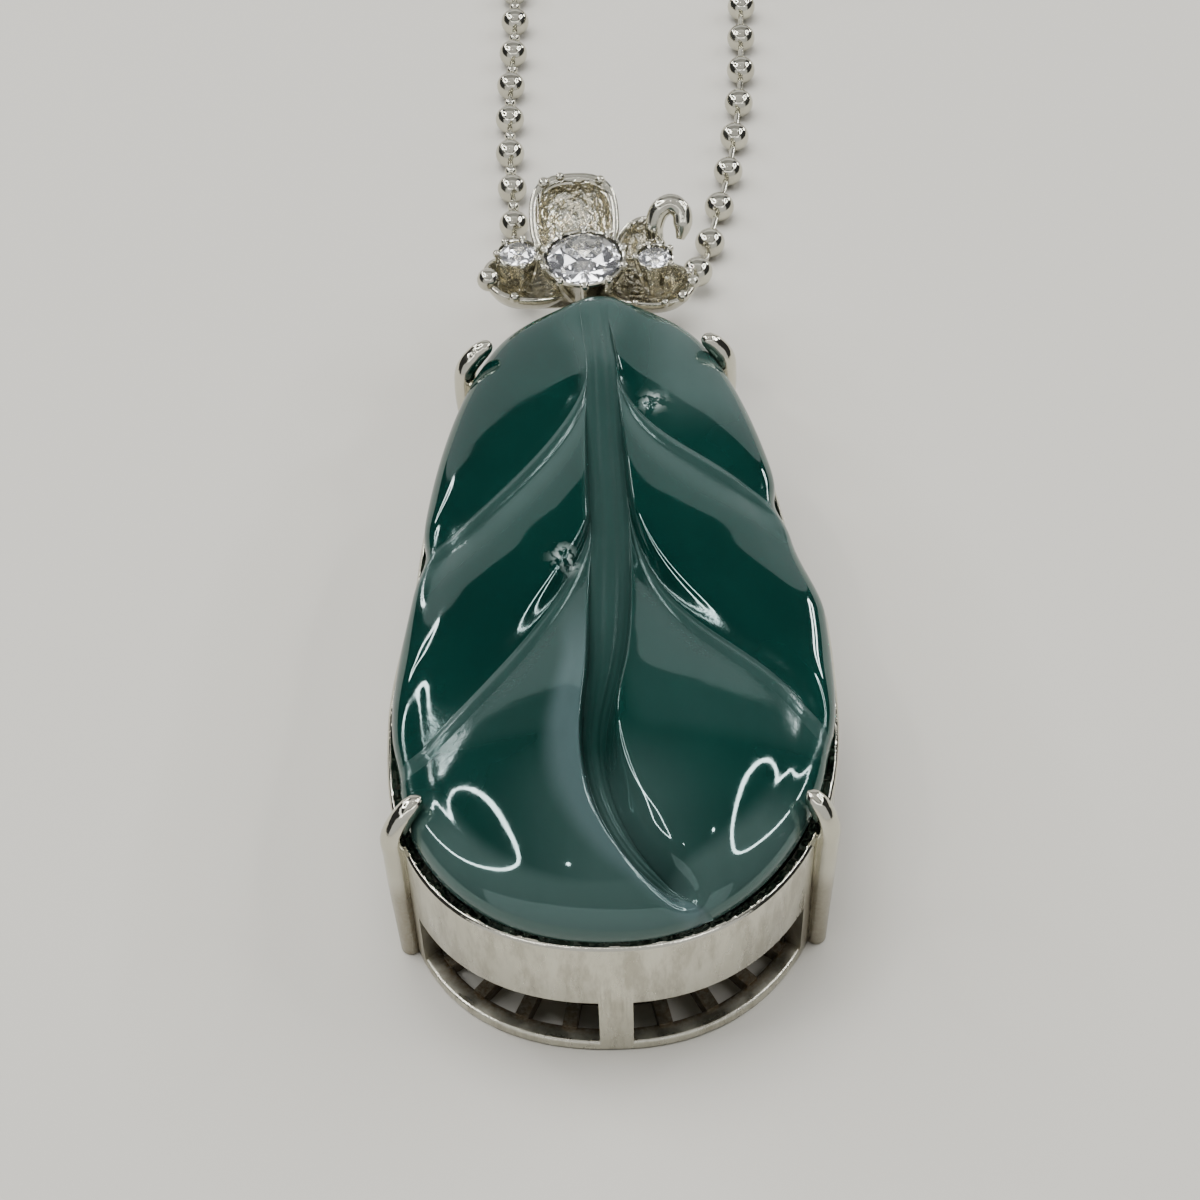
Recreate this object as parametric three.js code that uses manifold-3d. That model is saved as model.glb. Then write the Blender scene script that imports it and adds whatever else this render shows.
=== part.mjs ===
// Jadeite leaf pendant: a carved cabochon in a cast silver gallery setting, with a flower bail and
// a ball chain. Millimetres, +Z up. The pendant lies on its back plate, +Y runs to the leaf's tip
// and the bail, and the middle of the pendant's underside is the origin.
import * as THREE from "three";
import { mergeVertices } from "three/addons/utils/BufferGeometryUtils.js";
import Module from "manifold-3d";

const wasm = await Module();
wasm.setup();

// Outlines seen from above, in the stone's own frame. Each side has its own half width, and steps in
// by a share of it above the shoulder, where the upper lobes are narrower.
const SHOULDER_Y = -4.6; // where the leaf is widest
const SIDE_FULLNESS = 2.2; // exponent of the outline across the leaf
const STONE = {
  tipReach: 20.9,
  heelReach: 10.66,
  left: {
    halfWidth: 7.9,
    tipFullness: 2.4,
    heelFullness: 2.75,
    step: { share: 0.071, from: -5.7, to: 1.6 },
    notches: [
      { y: 1.85, depth: 0.26, span: 1.0 },
      { y: -8.3, depth: 0.18, span: 1.2 },
    ],
  },
  right: {
    halfWidth: 8.25,
    tipFullness: 2.05,
    heelFullness: 1.95,
    step: { share: 0.087, from: -1.4, to: 2.4 },
    notches: [
      { y: 4.1, depth: 0.33, span: 1.0 },
      { y: -7.9, depth: 0.1, span: 1.0 },
    ],
  },
};
const TIP_PINCH = { share: 0.45, span: 1.46 };

// Heights above the table.
const BACK_Z = 3.95; // flat back of the stone, on its bearing
const GIRDLE_Z = 7.08;
const GIRDLE_HEIGHT = 0.2;
const DOME_HEIGHT = 2.74; // at the heel
const TIP_DOME_HEIGHT = 2.04;
// Rings of the side, as inset from the girdle and height: it steps in over the rim and slopes to the back.
const SIDE_RINGS = [
  [0, GIRDLE_Z - GIRDLE_HEIGHT],
  [0.36, GIRDLE_Z - GIRDLE_HEIGHT - 0.06],
  [0.56, BACK_Z + 0.25],
  [0.8, BACK_Z],
];

// Carving: every rib is a raised band between two grooves, and the lobes swell between the ribs.
const GROOVE_DEPTH = { tip: 0.3, shoulder: 0.63, heel: 1.23 };
const RIB_RISE = 0.15;
const VEIN_RISE = 0.08;
const TIP_ANGLE = 82; // outline angle of the two corners where the middle rib reaches the tip
const END = { y: -14.65, leftAngle: -107.7, rightAngle: -72.3 }; // where the middle rib runs out

// The creases of each side: height on the middle rib, outline angle, and how the curve leaves and arrives.
const LEFT_CREASES = [
  { rib: 16.09, angle: TIP_ANGLE, leave: [0, 0], arrive: [0, 0] },
  { rib: 10.6, angle: 17.3, leave: [-0.4, -3.1], arrive: [2.85, 2.0] },
  { rib: 9.5, angle: 15.3, leave: [-0.35, -3.0], arrive: [2.9, 1.8] },
  { rib: 2.6, angle: -20.5, leave: [-0.35, -3.2], arrive: [3.2, 2.6] },
  { rib: 1.5, angle: -24.6, leave: [-0.35, -3.1], arrive: [3.2, 2.4] },
  { rib: END.y, angle: END.leftAngle, leave: [0, 0], arrive: [0, 0] },
];
const RIGHT_CREASES = [
  { rib: 16.09, angle: TIP_ANGLE, leave: [0, 0], arrive: [0, 0] },
  { rib: 12.0, angle: 22.6, leave: [0.2, -5.4], arrive: [-2.8, 3.0] },
  { rib: 11.1, angle: 20.6, leave: [0.2, -5.4], arrive: [-2.8, 2.7] },
  { rib: 4.2, angle: -15.4, leave: [0.5, -8.0], arrive: [-2.3, 4.8] },
  { rib: 3.1, angle: -19.4, leave: [0.5, -7.6], arrive: [-2.3, 4.6] },
  { rib: END.y, angle: END.rightAngle, leave: [0, 0], arrive: [0, 0] },
];
// How far the banks of the three lobes of a side reach: down from the crease above, up from the crease
// below at the rib and at the edge, and out from the rib at the lobe's top and bottom.
const LEFT_BANKS = [
  { above: 1, below: 0.16, edge: 2.0, ribTop: 0.4, ribBottom: 0.45 },
  { above: 5.6, below: 0.22, edge: 2.4, ribTop: 0.4, ribBottom: 0.5 },
  { above: 8, below: 1, edge: 1, ribTop: 0.45, ribBottom: 0.7 },
];
const RIGHT_BANKS = [
  { above: 1, below: 0.2, edge: 0.7, ribTop: 0.4, ribBottom: 0.55 },
  { above: 5.6, below: 1.1, edge: 1.4, ribTop: 0.4, ribBottom: 0.6 },
  { above: 8, below: 1, edge: 1, ribTop: 0.45, ribBottom: 2.6 },
];
const LOBE_ROWS = [7, 9, 9]; // from the tip to the heel
const CREASE_ROWS = 2;
const RIB_COLUMNS = 2; // on each side of the rib's middle line
const LOBE_COLUMNS = 11;

// Setting: a smooth band that follows the stone, with its rim just under the stone's girdle.
const BAND = {
  tipReach: 21.1,
  heelReach: 10.87,
  left: {
    halfWidth: 8.08,
    tipFullness: 2.4,
    heelFullness: 3.2,
    step: { share: 0.085, from: -5.7, to: 1.6 },
    notches: [],
  },
  right: {
    halfWidth: 8.36,
    tipFullness: 2.05,
    heelFullness: 2.4,
    step: { share: 0.1, from: -1.4, to: 2.4 },
    notches: [],
  },
};
const RIM_Z = 6.8;
const BAND_BOTTOM_Z = 3.25;
const BAND_TAPER = 0.05; // inset of the outside at the table
const RIM_THICKNESS = 0.14;
const SEAT_SLOPE = 0.26;
const BEARING_WIDTH = 0.7;
const PLATE_THICKNESS = 0.5;
const PLATE_RIM_WIDTH = 0.65;
const WINDOW_LENGTH = 1.15;
const PLATE_INNER_WIDTH = 0.55;
const WINDOW_COUNT = 44;
const WINDOW_SHARE = 0.62; // of each pitch
const BAND_STEPS = 56;
const POST_WIDTH = 1.2;
const POST_DEPTH = 0.7;
const POST_ANGLES = [270, 90, 12, 168, 217.4, 322.6];

// Claws: where each stands on the band, where its tip leans, how far it stands out and how far its
// tip reaches over the stone.
const CLAW_RADIUS = 0.46;
const CLAWS = [
  { angle: 214.5, tipAngle: 213.5, stand: 0.2, reach: 1.0, tipZ: 8.45 },
  { angle: 325.5, tipAngle: 326.5, stand: 0.24, reach: 0.65, tipZ: 8.45 },
  { angle: 52, tipAngle: 56.5, stand: 0.38, reach: 0.48, tipZ: 8.25 },
  { angle: 130, tipAngle: 124, stand: 0.5, reach: 0.4, tipZ: 8.25 },
];

// Flower bail.
const FLOWER = { x: -0.62, y: 18.55, z: 6.2 };
const CENTER_STONE_RADIUS = 1.6;
const SIDE_STONE_RADIUS = { left: 0.78, right: 0.7 };
const BAIL = { x: 0.2, y: 21.9, z: 2.95, length: 3.6, outerRadius: 1.5, boreRadius: 0.95 };

// Ball chain: bead diameter, the coil of the unseen length and the coupling.
const CHAIN_DIAMETER = 1.4;
const CHAIN_GAP = 0.3;
const COIL = { x: 4.9, y: 60, innerTurn: 5.0, outerTurn: 9.2, layers: 2 };
const COUPLING = { x: 13.1, y: 48.3, length: 5.4, radius: 0.85 };

const material = (color, roughness, metalness) =>
  new THREE.MeshStandardMaterial({ color, roughness, metalness });
const jade = material(0x1f4a40, 0.12, 0);
const silver = material(0xb9b6af, 0.25, 1);
const crystal = material(0xf4f7fa, 0.02, 0);

const radians = THREE.MathUtils.degToRad;
const lerp = THREE.MathUtils.lerp;
const smooth = (value, low, high) => THREE.MathUtils.smoothstep(value, low, high);
const bell = (value, middle, span) => Math.exp(-(((value - middle) / span) ** 2));

// Outline of a shape: the share of the way from the widest line to the tip or the heel.
function reachShare(shape, y) {
  const reach = y > SHOULDER_Y ? shape.tipReach : shape.heelReach;
  return Math.min(1, Math.abs(y - SHOULDER_Y) / reach);
}

function fullnessAt(side, y) {
  const middle = (side.tipFullness + side.heelFullness) / 2;
  const swing = (side.heelFullness - side.tipFullness) / 2;
  return middle - swing * Math.tanh((y - SHOULDER_Y) / 2);
}

// Half width of the smooth form before it closes towards the tip and the heel.
function breadthAt(shape, side, y) {
  const step = 1 - side.step.share * smooth(y, side.step.from, side.step.to);
  const pinch = 1 - TIP_PINCH.share * bell(y, SHOULDER_Y + shape.tipReach, TIP_PINCH.span);
  const notch = side.notches.reduce((sum, { y: at, depth, span }) => sum + depth * bell(y, at, span), 0);
  return side.halfWidth * step * pinch - notch;
}

function halfWidthAt(shape, side, y) {
  const left = 1 - reachShare(shape, y) ** fullnessAt(side, y);
  return breadthAt(shape, side, y) * Math.max(0, left) ** (1 / SIDE_FULLNESS);
}

const sideOf = (shape, sign) => (sign < 0 ? shape.left : shape.right);

// A point of the outline. The angle runs from 90 at the tip over 0 at the shoulder to -90 at the heel.
function outlinePoint(shape, sign, angle) {
  const rise = Math.sin(radians(angle));
  const y = SHOULDER_Y + rise * (rise > 0 ? shape.tipReach : shape.heelReach);
  const across = Math.sign(Math.cos(radians(angle))) * sign;
  return [across * halfWidthAt(shape, sideOf(shape, across), y), y];
}

const inset = (shape, distance) => ({
  tipReach: shape.tipReach - distance,
  heelReach: shape.heelReach - distance,
  left: { ...shape.left, halfWidth: shape.left.halfWidth - distance },
  right: { ...shape.right, halfWidth: shape.right.halfWidth - distance },
});

// The middle rib: its middle line and half width at each height.
function ribMiddle(y) {
  const bend = y < -9 ? 3.1 * ((-9 - y) / 5.4) ** 2.5 : 0;
  return 0.2 * bell(y, 2, 5) - 0.55 * bell(y, -8, 3) - 0.25 * smooth(y, 11, 15) + bend;
}

function ribHalfWidth(y) {
  const widening = 0.38 * smooth(y, -11, -4) - 0.15 * smooth(y, 2, 14);
  return (0.34 + widening) * (1 - 0.8 * smooth(-y, 12.5, -END.y));
}

// How much of the dome is left at a point: 1 on the shoulder's middle, 0 at the girdle. The two sides
// blend into each other across the leaf.
function domeLeft(x, y) {
  const fromSide = (side) => {
    const across = Math.abs(x) / breadthAt(STONE, side, y);
    return 1 - across ** SIDE_FULLNESS - reachShare(STONE, y) ** fullnessAt(side, y);
  };
  const edge = Math.max(0.05, halfWidthAt(STONE, sideOf(STONE, x), y));
  const share = smooth(x / edge, -0.9, 0.9);
  return Math.max(0, lerp(fromSide(STONE.left), fromSide(STONE.right), share));
}

// The carving's relief is added to the dome, which is lower towards the tip, and fades at the girdle.
function surfaceHeight(x, y, relief) {
  const left = domeLeft(x, y);
  const height = lerp(DOME_HEIGHT, TIP_DOME_HEIGHT, smooth(y, -10.5, -0.5));
  return GIRDLE_Z + height * Math.sqrt(left) + relief * smooth(left, 0, 0.3);
}

// The grooves are cut deeper towards the heel.
function grooveDepth(ribY) {
  const { tip, shoulder, heel } = GROOVE_DEPTH;
  return lerp(heel, shoulder, smooth(ribY, -9, 1)) - (shoulder - tip) * smooth(ribY, 6, 12);
}

// One row of the leaf: which crease or lobe it is in, and how far down it.
function leafRows() {
  const rows = [];
  for (let part = 0; part < LEFT_CREASES.length - 1; part++) {
    const count = part % 2 ? CREASE_ROWS : LOBE_ROWS[part / 2];
    for (let step = 0; step < count; step++) rows.push({ part, share: step / count });
  }
  rows.push({ part: LEFT_CREASES.length - 2, share: 1 });
  return rows;
}

// Where a row of the leaf lies, seen from above, at a share of the way from the rib to the edge.
function plan(part, share, side, out) {
  const creases = side < 0 ? LEFT_CREASES : RIGHT_CREASES;
  const upper = creases[part];
  const lower = creases[part + 1];
  const ribY = lerp(upper.rib, lower.rib, share);
  const start = new THREE.Vector2(ribMiddle(ribY) + side * ribHalfWidth(ribY), ribY);
  const end = new THREE.Vector2(...outlinePoint(STONE, side, lerp(upper.angle, lower.angle, share)));
  const leave = new THREE.Vector2(...upper.leave).lerp(new THREE.Vector2(...lower.leave), share);
  const arrive = new THREE.Vector2(...upper.arrive).lerp(new THREE.Vector2(...lower.arrive), share);
  return new THREE.CubicBezierCurve(start, leave.add(start), arrive.add(end), end).getPoint(out);
}

const rounding = (distance, width, power) => 1 - Math.exp(-((distance / width) ** power));

// Swelling of a lobe: it rises slowly under one crease, and rounds off towards the next and the rib.
function swelling({ part, share }, side, out) {
  const last = LEFT_CREASES.length - 2;
  const bank = (side < 0 ? LEFT_BANKS : RIGHT_BANKS)[part / 2];
  const here = plan(part, share, side, out);
  const fromAbove = here.distanceTo(plan(part, 0, side, out));
  const toBelow = here.distanceTo(plan(part, 1, side, out));
  const fromRib = here.distanceTo(plan(part, share, side, 0));
  const rise = part === 0 ? 1 : 1 - Math.max(0, 1 - fromAbove / bank.above) ** 2;
  const fall = part === last ? 1 : rounding(toBelow, lerp(bank.below, bank.edge, out ** 1.5), 1.8);
  const ribWidth = lerp(bank.ribTop, bank.ribBottom, smooth(share, 0.48, 0.72));
  return rise * fall * rounding(fromRib, ribWidth, 2.2);
}

function leafPoint(row, side, out) {
  const creases = side < 0 ? LEFT_CREASES : RIGHT_CREASES;
  const { x, y } = plan(row.part, row.share, side, out);
  if (out === 1) return [x, y, GIRDLE_Z];
  const depth = grooveDepth(lerp(creases[row.part].rib, creases[row.part + 1].rib, row.share));
  const isCrease = row.part % 2 === 1;
  const raised = isCrease
    ? VEIN_RISE * 4 * row.share * (1 - row.share)
    : depth * swelling(row, side, out);
  return [x, y, surfaceHeight(x, y, raised - depth)];
}

// A point on the middle rib, from -1 at its left groove to 1 at its right groove.
function ribPoint(row, across) {
  const left = leafPoint(row, -1, 0);
  const right = leafPoint(row, 1, 0);
  const x = lerp(left[0], right[0], (across + 1) / 2);
  const y = lerp(left[1], right[1], (across + 1) / 2);
  return [x, y, surfaceHeight(x, y, RIB_RISE * (1 - across ** 2) - grooveDepth(y))];
}

function geometryFrom(points, triangles) {
  const geometry = new THREE.BufferGeometry();
  geometry.setAttribute("position", new THREE.Float32BufferAttribute(points.flat(), 3));
  geometry.setIndex(triangles.flat());
  return geometry;
}

// The carved stone: one grid over the top, a girdle, a sloping flank and a flat back.
function jadeLeaf() {
  const rows = leafRows();
  const last = rows.length - 1;
  const reach = RIB_COLUMNS + LOBE_COLUMNS;
  const points = [];
  const indexOf = new Map();
  const tipPoint = (across) => {
    const angle = 90 - (90 - TIP_ANGLE) * Math.abs(across);
    return [...outlinePoint(STONE, Math.sign(across) || 1, angle), GIRDLE_Z];
  };
  const cornerOf = (row, column) => {
    if (row === last) return [last, 0];
    if (row === 0) return [0, THREE.MathUtils.clamp(column, -RIB_COLUMNS, RIB_COLUMNS)];
    return [row, column];
  };
  const place = (row, column) => {
    if (row === last) return [...outlinePoint(STONE, 1, END.rightAngle), GIRDLE_Z];
    if (row === 0) return tipPoint(column / RIB_COLUMNS);
    if (Math.abs(column) <= RIB_COLUMNS) return ribPoint(rows[row], column / RIB_COLUMNS);
    const out = (Math.abs(column) - RIB_COLUMNS) / LOBE_COLUMNS;
    return leafPoint(rows[row], Math.sign(column), out ** 1.15);
  };
  const vertex = (row, column) => {
    const corner = cornerOf(row, column);
    const key = corner.join();
    if (!indexOf.has(key)) {
      indexOf.set(key, points.length);
      points.push(place(...corner));
    }
    return indexOf.get(key);
  };
  const triangles = [];
  const addTriangle = (a, b, c) => {
    if (a !== b && b !== c && c !== a) triangles.push([a, b, c]);
  };
  for (let row = 0; row < last; row++) {
    for (let column = -reach; column < reach; column++) {
      const a = vertex(row, column);
      const b = vertex(row + 1, column);
      const c = vertex(row + 1, column + 1);
      const d = vertex(row, column + 1);
      addTriangle(a, b, c);
      addTriangle(a, c, d);
    }
  }
  const edge = [];
  for (let row = 0; row <= last; row++) edge.push(vertex(row, -reach));
  for (let row = last - 1; row >= 0; row--) edge.push(vertex(row, reach));
  for (let column = RIB_COLUMNS - 1; column > -RIB_COLUMNS; column--) edge.push(vertex(0, column));
  const shrunk = ([x, y], distance, z) => {
    const reach = y > SHOULDER_Y ? STONE.tipReach : STONE.heelReach;
    const along = SHOULDER_Y + (y - SHOULDER_Y) * (1 - distance / reach);
    return [x * (1 - distance / sideOf(STONE, x).halfWidth), along, z];
  };
  let above = edge;
  for (const [distance, z] of SIDE_RINGS) {
    const below = edge.map((index) => points.push(shrunk(points[index], distance, z)) - 1);
    above.forEach((index, k) => {
      const next = (k + 1) % edge.length;
      addTriangle(index, below[k], below[next]);
      addTriangle(index, below[next], above[next]);
    });
    above = below;
  }
  const centre = points.push([0, SHOULDER_Y, BACK_Z]) - 1;
  above.forEach((index, k) => addTriangle(centre, above[(k + 1) % above.length], index));
  return geometryFrom(points, triangles);
}

// Solids of manifold-3d, for joins and cuts.
function solidOf(geometry) {
  const bare = geometry.clone();
  bare.deleteAttribute("normal");
  bare.deleteAttribute("uv");
  const merged = mergeVertices(bare, 1e-4);
  return new wasm.Manifold(
    new wasm.Mesh({
      numProp: 3,
      vertProperties: merged.attributes.position.array,
      triVerts: new Uint32Array(merged.index.array),
    }),
  );
}

function geometryOf(solid) {
  const mesh = solid.getMesh();
  const geometry = new THREE.BufferGeometry();
  geometry.setAttribute("position", new THREE.BufferAttribute(mesh.vertProperties, 3));
  geometry.setIndex(new THREE.BufferAttribute(mesh.triVerts, 1));
  return geometry;
}

const join = (geometries) => geometries.map(solidOf).reduce((all, next) => all.add(next));

// A point of the band, from 0 at the right over 90 at the tip. The outside tapers towards the table.
function bandPoint(angle, distance, z) {
  const taper = (BAND_TAPER * (RIM_Z - z)) / RIM_Z;
  const shape = inset(BAND, distance + taper);
  const sign = Math.cos(radians(angle)) < 0 ? -1 : 1;
  const lift = Math.asin(Math.sin(radians(angle)));
  const [x, y] = outlinePoint(shape, sign, THREE.MathUtils.radToDeg(lift));
  return [x, y, z];
}

// A section of [inset, height] points swept along the band, all round or between two angles.
function bandSweep(section, from = 0, to = 360, steps = BAND_STEPS) {
  const closed = to - from === 360;
  const stations = closed ? steps : steps + 1;
  const points = [];
  for (let station = 0; station < stations; station++) {
    const angle = lerp(from, to, station / steps);
    for (const [distance, z] of section) points.push(bandPoint(angle, distance, z));
  }
  const size = section.length;
  const triangles = [];
  for (let station = 0; station < steps; station++) {
    for (let k = 0; k < size; k++) {
      const a = station * size + k;
      const b = station * size + ((k + 1) % size);
      const c = ((station + 1) % stations) * size + ((k + 1) % size);
      const d = ((station + 1) % stations) * size + k;
      triangles.push([a, b, c], [a, c, d]);
    }
  }
  if (!closed) {
    for (let k = 1; k < size - 1; k++) {
      const end = (stations - 1) * size;
      triangles.push([0, k + 1, k], [end, end + k, end + k + 1]);
    }
  }
  return geometryFrom(points, triangles);
}

// The band with the sloping seat and the bearing that carries the stone.
function band() {
  const seatInset = RIM_THICKNESS + SEAT_SLOPE;
  return bandSweep([
    [0, BAND_BOTTOM_Z],
    [seatInset + BEARING_WIDTH, BAND_BOTTOM_Z],
    [seatInset + BEARING_WIDTH, BACK_Z],
    [seatInset, BACK_Z],
    [RIM_THICKNESS, RIM_Z],
    [0, RIM_Z],
  ]);
}

// The back plate: an outer and an inner rim with windows between them.
function backPlate() {
  const insets = [0, PLATE_RIM_WIDTH, PLATE_RIM_WIDTH + WINDOW_LENGTH];
  insets.push(insets[2] + PLATE_INNER_WIDTH);
  const pitch = 360 / WINDOW_COUNT;
  const heights = [0, PLATE_THICKNESS];
  const points = [];
  const stations = WINDOW_COUNT * 2;
  for (let station = 0; station < stations; station++) {
    const start = Math.floor(station / 2) * pitch;
    const offset = station % 2 ? (0.5 + WINDOW_SHARE / 2) * pitch : (0.5 - WINDOW_SHARE / 2) * pitch;
    for (const distance of insets) {
      for (const z of heights) points.push(bandPoint(start + offset + 270, distance, z));
    }
  }
  const at = (station, ring, level) =>
    (station % stations) * insets.length * 2 + ring * 2 + level;
  const triangles = [];
  const quad = (a, b, c, d) => triangles.push([a, b, c], [a, c, d]);
  for (let station = 0; station < stations; station++) {
    const next = station + 1;
    const isWindow = station % 2 === 0;
    for (let ring = 0; ring < 3; ring++) {
      if (isWindow && ring === 1) continue;
      quad(at(station, ring, 1), at(next, ring, 1), at(next, ring + 1, 1), at(station, ring + 1, 1));
      quad(at(station, ring, 0), at(station, ring + 1, 0), at(next, ring + 1, 0), at(next, ring, 0));
    }
    quad(at(station, 0, 0), at(next, 0, 0), at(next, 0, 1), at(station, 0, 1));
    quad(at(next, 3, 0), at(station, 3, 0), at(station, 3, 1), at(next, 3, 1));
    if (!isWindow) continue;
    quad(at(next, 1, 0), at(station, 1, 0), at(station, 1, 1), at(next, 1, 1));
    quad(at(station, 2, 0), at(next, 2, 0), at(next, 2, 1), at(station, 2, 1));
    quad(at(station, 1, 0), at(station, 2, 0), at(station, 2, 1), at(station, 1, 1));
    quad(at(next, 2, 0), at(next, 1, 0), at(next, 1, 1), at(next, 2, 1));
  }
  return geometryFrom(points, triangles);
}

function post(angle) {
  const arc = 3;
  const near = bandPoint(angle - arc, 0, 0);
  const far = bandPoint(angle + arc, 0, 0);
  const degreesPerMillimetre = (2 * arc) / Math.hypot(far[0] - near[0], far[1] - near[1]);
  const half = (POST_WIDTH / 2) * degreesPerMillimetre;
  const section = [
    [0, PLATE_THICKNESS / 2],
    [POST_DEPTH, PLATE_THICKNESS / 2],
    [POST_DEPTH, BAND_BOTTOM_Z + 0.4],
    [0, BAND_BOTTOM_Z + 0.4],
  ];
  return bandSweep(section, angle - half, angle + half, 2);
}

function circle(radius, sides) {
  const shape = new THREE.Shape();
  for (let k = 0; k < sides; k++) {
    const turn = (2 * Math.PI * k) / sides;
    shape[k ? "lineTo" : "moveTo"](radius * Math.cos(turn), radius * Math.sin(turn));
  }
  return shape;
}

function tube(curve, radius, sides, steps) {
  return new THREE.ExtrudeGeometry(circle(radius, sides), {
    steps,
    bevelEnabled: false,
    extrudePath: curve,
  });
}

// A tube whose radius changes along a curve: each station is [share of the curve, radius].
function taperedTube(curve, stations, sides) {
  const frames = curve.computeFrenetFrames(100, false);
  const points = [];
  stations.forEach(([share, radius]) => {
    const middle = curve.getPointAt(share);
    const frame = Math.round(share * 100);
    for (let k = 0; k < sides; k++) {
      const turn = (2 * Math.PI * k) / sides;
      const spoke = frames.normals[frame].clone().multiplyScalar(radius * Math.cos(turn));
      spoke.addScaledVector(frames.binormals[frame], radius * Math.sin(turn));
      points.push(middle.clone().add(spoke).toArray());
    }
  });
  const triangles = [];
  const last = (stations.length - 1) * sides;
  for (let start = 0; start < last; start += sides) {
    for (let k = 0; k < sides; k++) {
      const next = (k + 1) % sides;
      triangles.push([start + k, start + next, start + sides + next]);
      triangles.push([start + k, start + sides + next, start + sides + k]);
    }
  }
  for (let k = 1; k < sides - 1; k++) {
    triangles.push([0, k + 1, k], [last, last + k, last + k + 1]);
  }
  return geometryFrom(points, triangles);
}

// A claw rises outside the band from the back plate, and bends over the edge of the stone.
function claw({ angle, tipAngle, stand, reach, tipZ }) {
  const stations = [
    [-0.16, 0.05, 0],
    [-0.2, 3.4, 0],
    [-stand, 6.3, 0],
    [-stand, 7.2, 0.15],
    [lerp(-stand, reach, 0.4), tipZ - 0.5, 0.55],
    [reach, tipZ, 1],
  ];
  const points = stations.map(([distance, z, leaning]) => {
    return new THREE.Vector3(...bandPoint(lerp(angle, tipAngle, leaning), distance, z));
  });
  const curve = new THREE.CatmullRomCurve3(points, false, "centripetal");
  const widths = [
    [0, 0.86],
    [0.25, 0.9],
    [0.55, 1],
    [0.7, 1],
    [0.8, 0.95],
    [0.9, 0.85],
    [0.97, 0.72],
    [1, 0.45],
  ];
  return taperedTube(curve, widths.map(([share, scale]) => [share, scale * CLAW_RADIUS]), 7);
}

function setting() {
  const pieces = [
    band(),
    backPlate(),
    ...POST_ANGLES.map(post),
    ...CLAWS.map(claw),
  ];
  return geometryOf(join(pieces));
}

// Turned forms stand on +Z.
function turned(profile, segments) {
  const geometry = new THREE.LatheGeometry(
    profile.map(([radius, z]) => new THREE.Vector2(radius, z)),
    segments,
  );
  return geometry.rotateX(Math.PI / 2);
}

// How far a circle's point must be divided to lie on a rounded square instead.
function superradius(x, y, corners) {
  const away = Math.hypot(x, y);
  return ((Math.abs(x) / away) ** corners + (Math.abs(y) / away) ** corners) ** (1 / corners);
}

// A cup petal: a shallow bowl with a thick rim and grains on it, turned to its heading and raised at
// its outer end. A grain is [angle on the rim, radius].
function cupPetal({ x, y, z, length, width, depth, heading, rise, corners, grains, wall = 0.32 }) {
  const bowl = turned(
    [
      [0, -depth - wall],
      [0.62, -0.72 * depth - wall],
      [1.01, -0.1],
      [0.99, 0.15],
      [0.86, 0.12],
      [0.7, -0.42 * depth],
      [0.4, -0.8 * depth],
      [0, -depth],
    ],
    12,
  );
  const spots = bowl.attributes.position;
  for (let k = 0; k < spots.count; k++) {
    const across = spots.getX(k);
    const along = spots.getY(k);
    if (Math.hypot(across, along) < 1e-6) continue;
    const share = 1 / superradius(across, along, corners);
    spots.setXY(k, across * share, along * share);
  }
  bowl.scale(length / 2, width / 2, 1);
  const beads = grains.map(([angle, radius]) => {
    const across = Math.cos(radians(angle));
    const along = Math.sin(radians(angle));
    const share = 0.95 / superradius(across, along, corners);
    const bead = new THREE.IcosahedronGeometry(radius);
    return bead.translate((share * across * length) / 2, (share * along * width) / 2, 0.12);
  });
  return [bowl, ...beads].map((piece) =>
    piece
      .rotateY(-radians(rise))
      .rotateZ(radians(heading))
      .translate(FLOWER.x + x, FLOWER.y + y, FLOWER.z + z),
  );
}

const PETALS = [
  {
    ...{ x: -0.4, y: 2.75, z: 0.85, length: 4.1, width: 3.8, depth: 1.0, heading: 92, rise: 27 },
    corners: 2.8,
    grains: [[38, 0.26]],
  },
  {
    ...{ x: -2.45, y: -0.5, z: 0.4, length: 3.7, width: 3.0, depth: 0.7, heading: 195, rise: 14 },
    corners: 2.3,
    grains: [[4, 0.5]],
  },
  {
    ...{ x: 2.75, y: -0.75, z: 0.15, length: 3.9, width: 2.8, depth: 0.65, heading: -14, rise: 6 },
    corners: 2.2,
    grains: [[8, 0.32], [-32, 0.28]],
  },
  {
    ...{ x: 2.35, y: 1.15, z: 0.7, length: 2.6, width: 2.0, depth: 0.6, heading: 60, rise: 28 },
    corners: 2,
    grains: [],
  },
];

// One more petal is curled up to a hook.
function curledPetal() {
  const route = [
    [2.3, 19.6, 6.3],
    [2.42, 19.95, 6.9],
    [2.42, 20.16, 7.6],
    [2.68, 20.45, 8.2],
    [3.15, 20.55, 8.42],
    [3.56, 20.32, 8.2],
    [3.62, 19.9, 7.75],
    [3.5, 19.55, 7.3],
  ];
  const points = route.map((point) => new THREE.Vector3(...point));
  const curve = new THREE.CatmullRomCurve3(points, false, "centripetal");
  const widths = [
    [0, 0.32],
    [0.2, 0.36],
    [0.4, 0.4],
    [0.55, 0.37],
    [0.7, 0.35],
    [0.85, 0.32],
    [1, 0.12],
  ];
  return taperedTube(curve, widths, 7);
}

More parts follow.
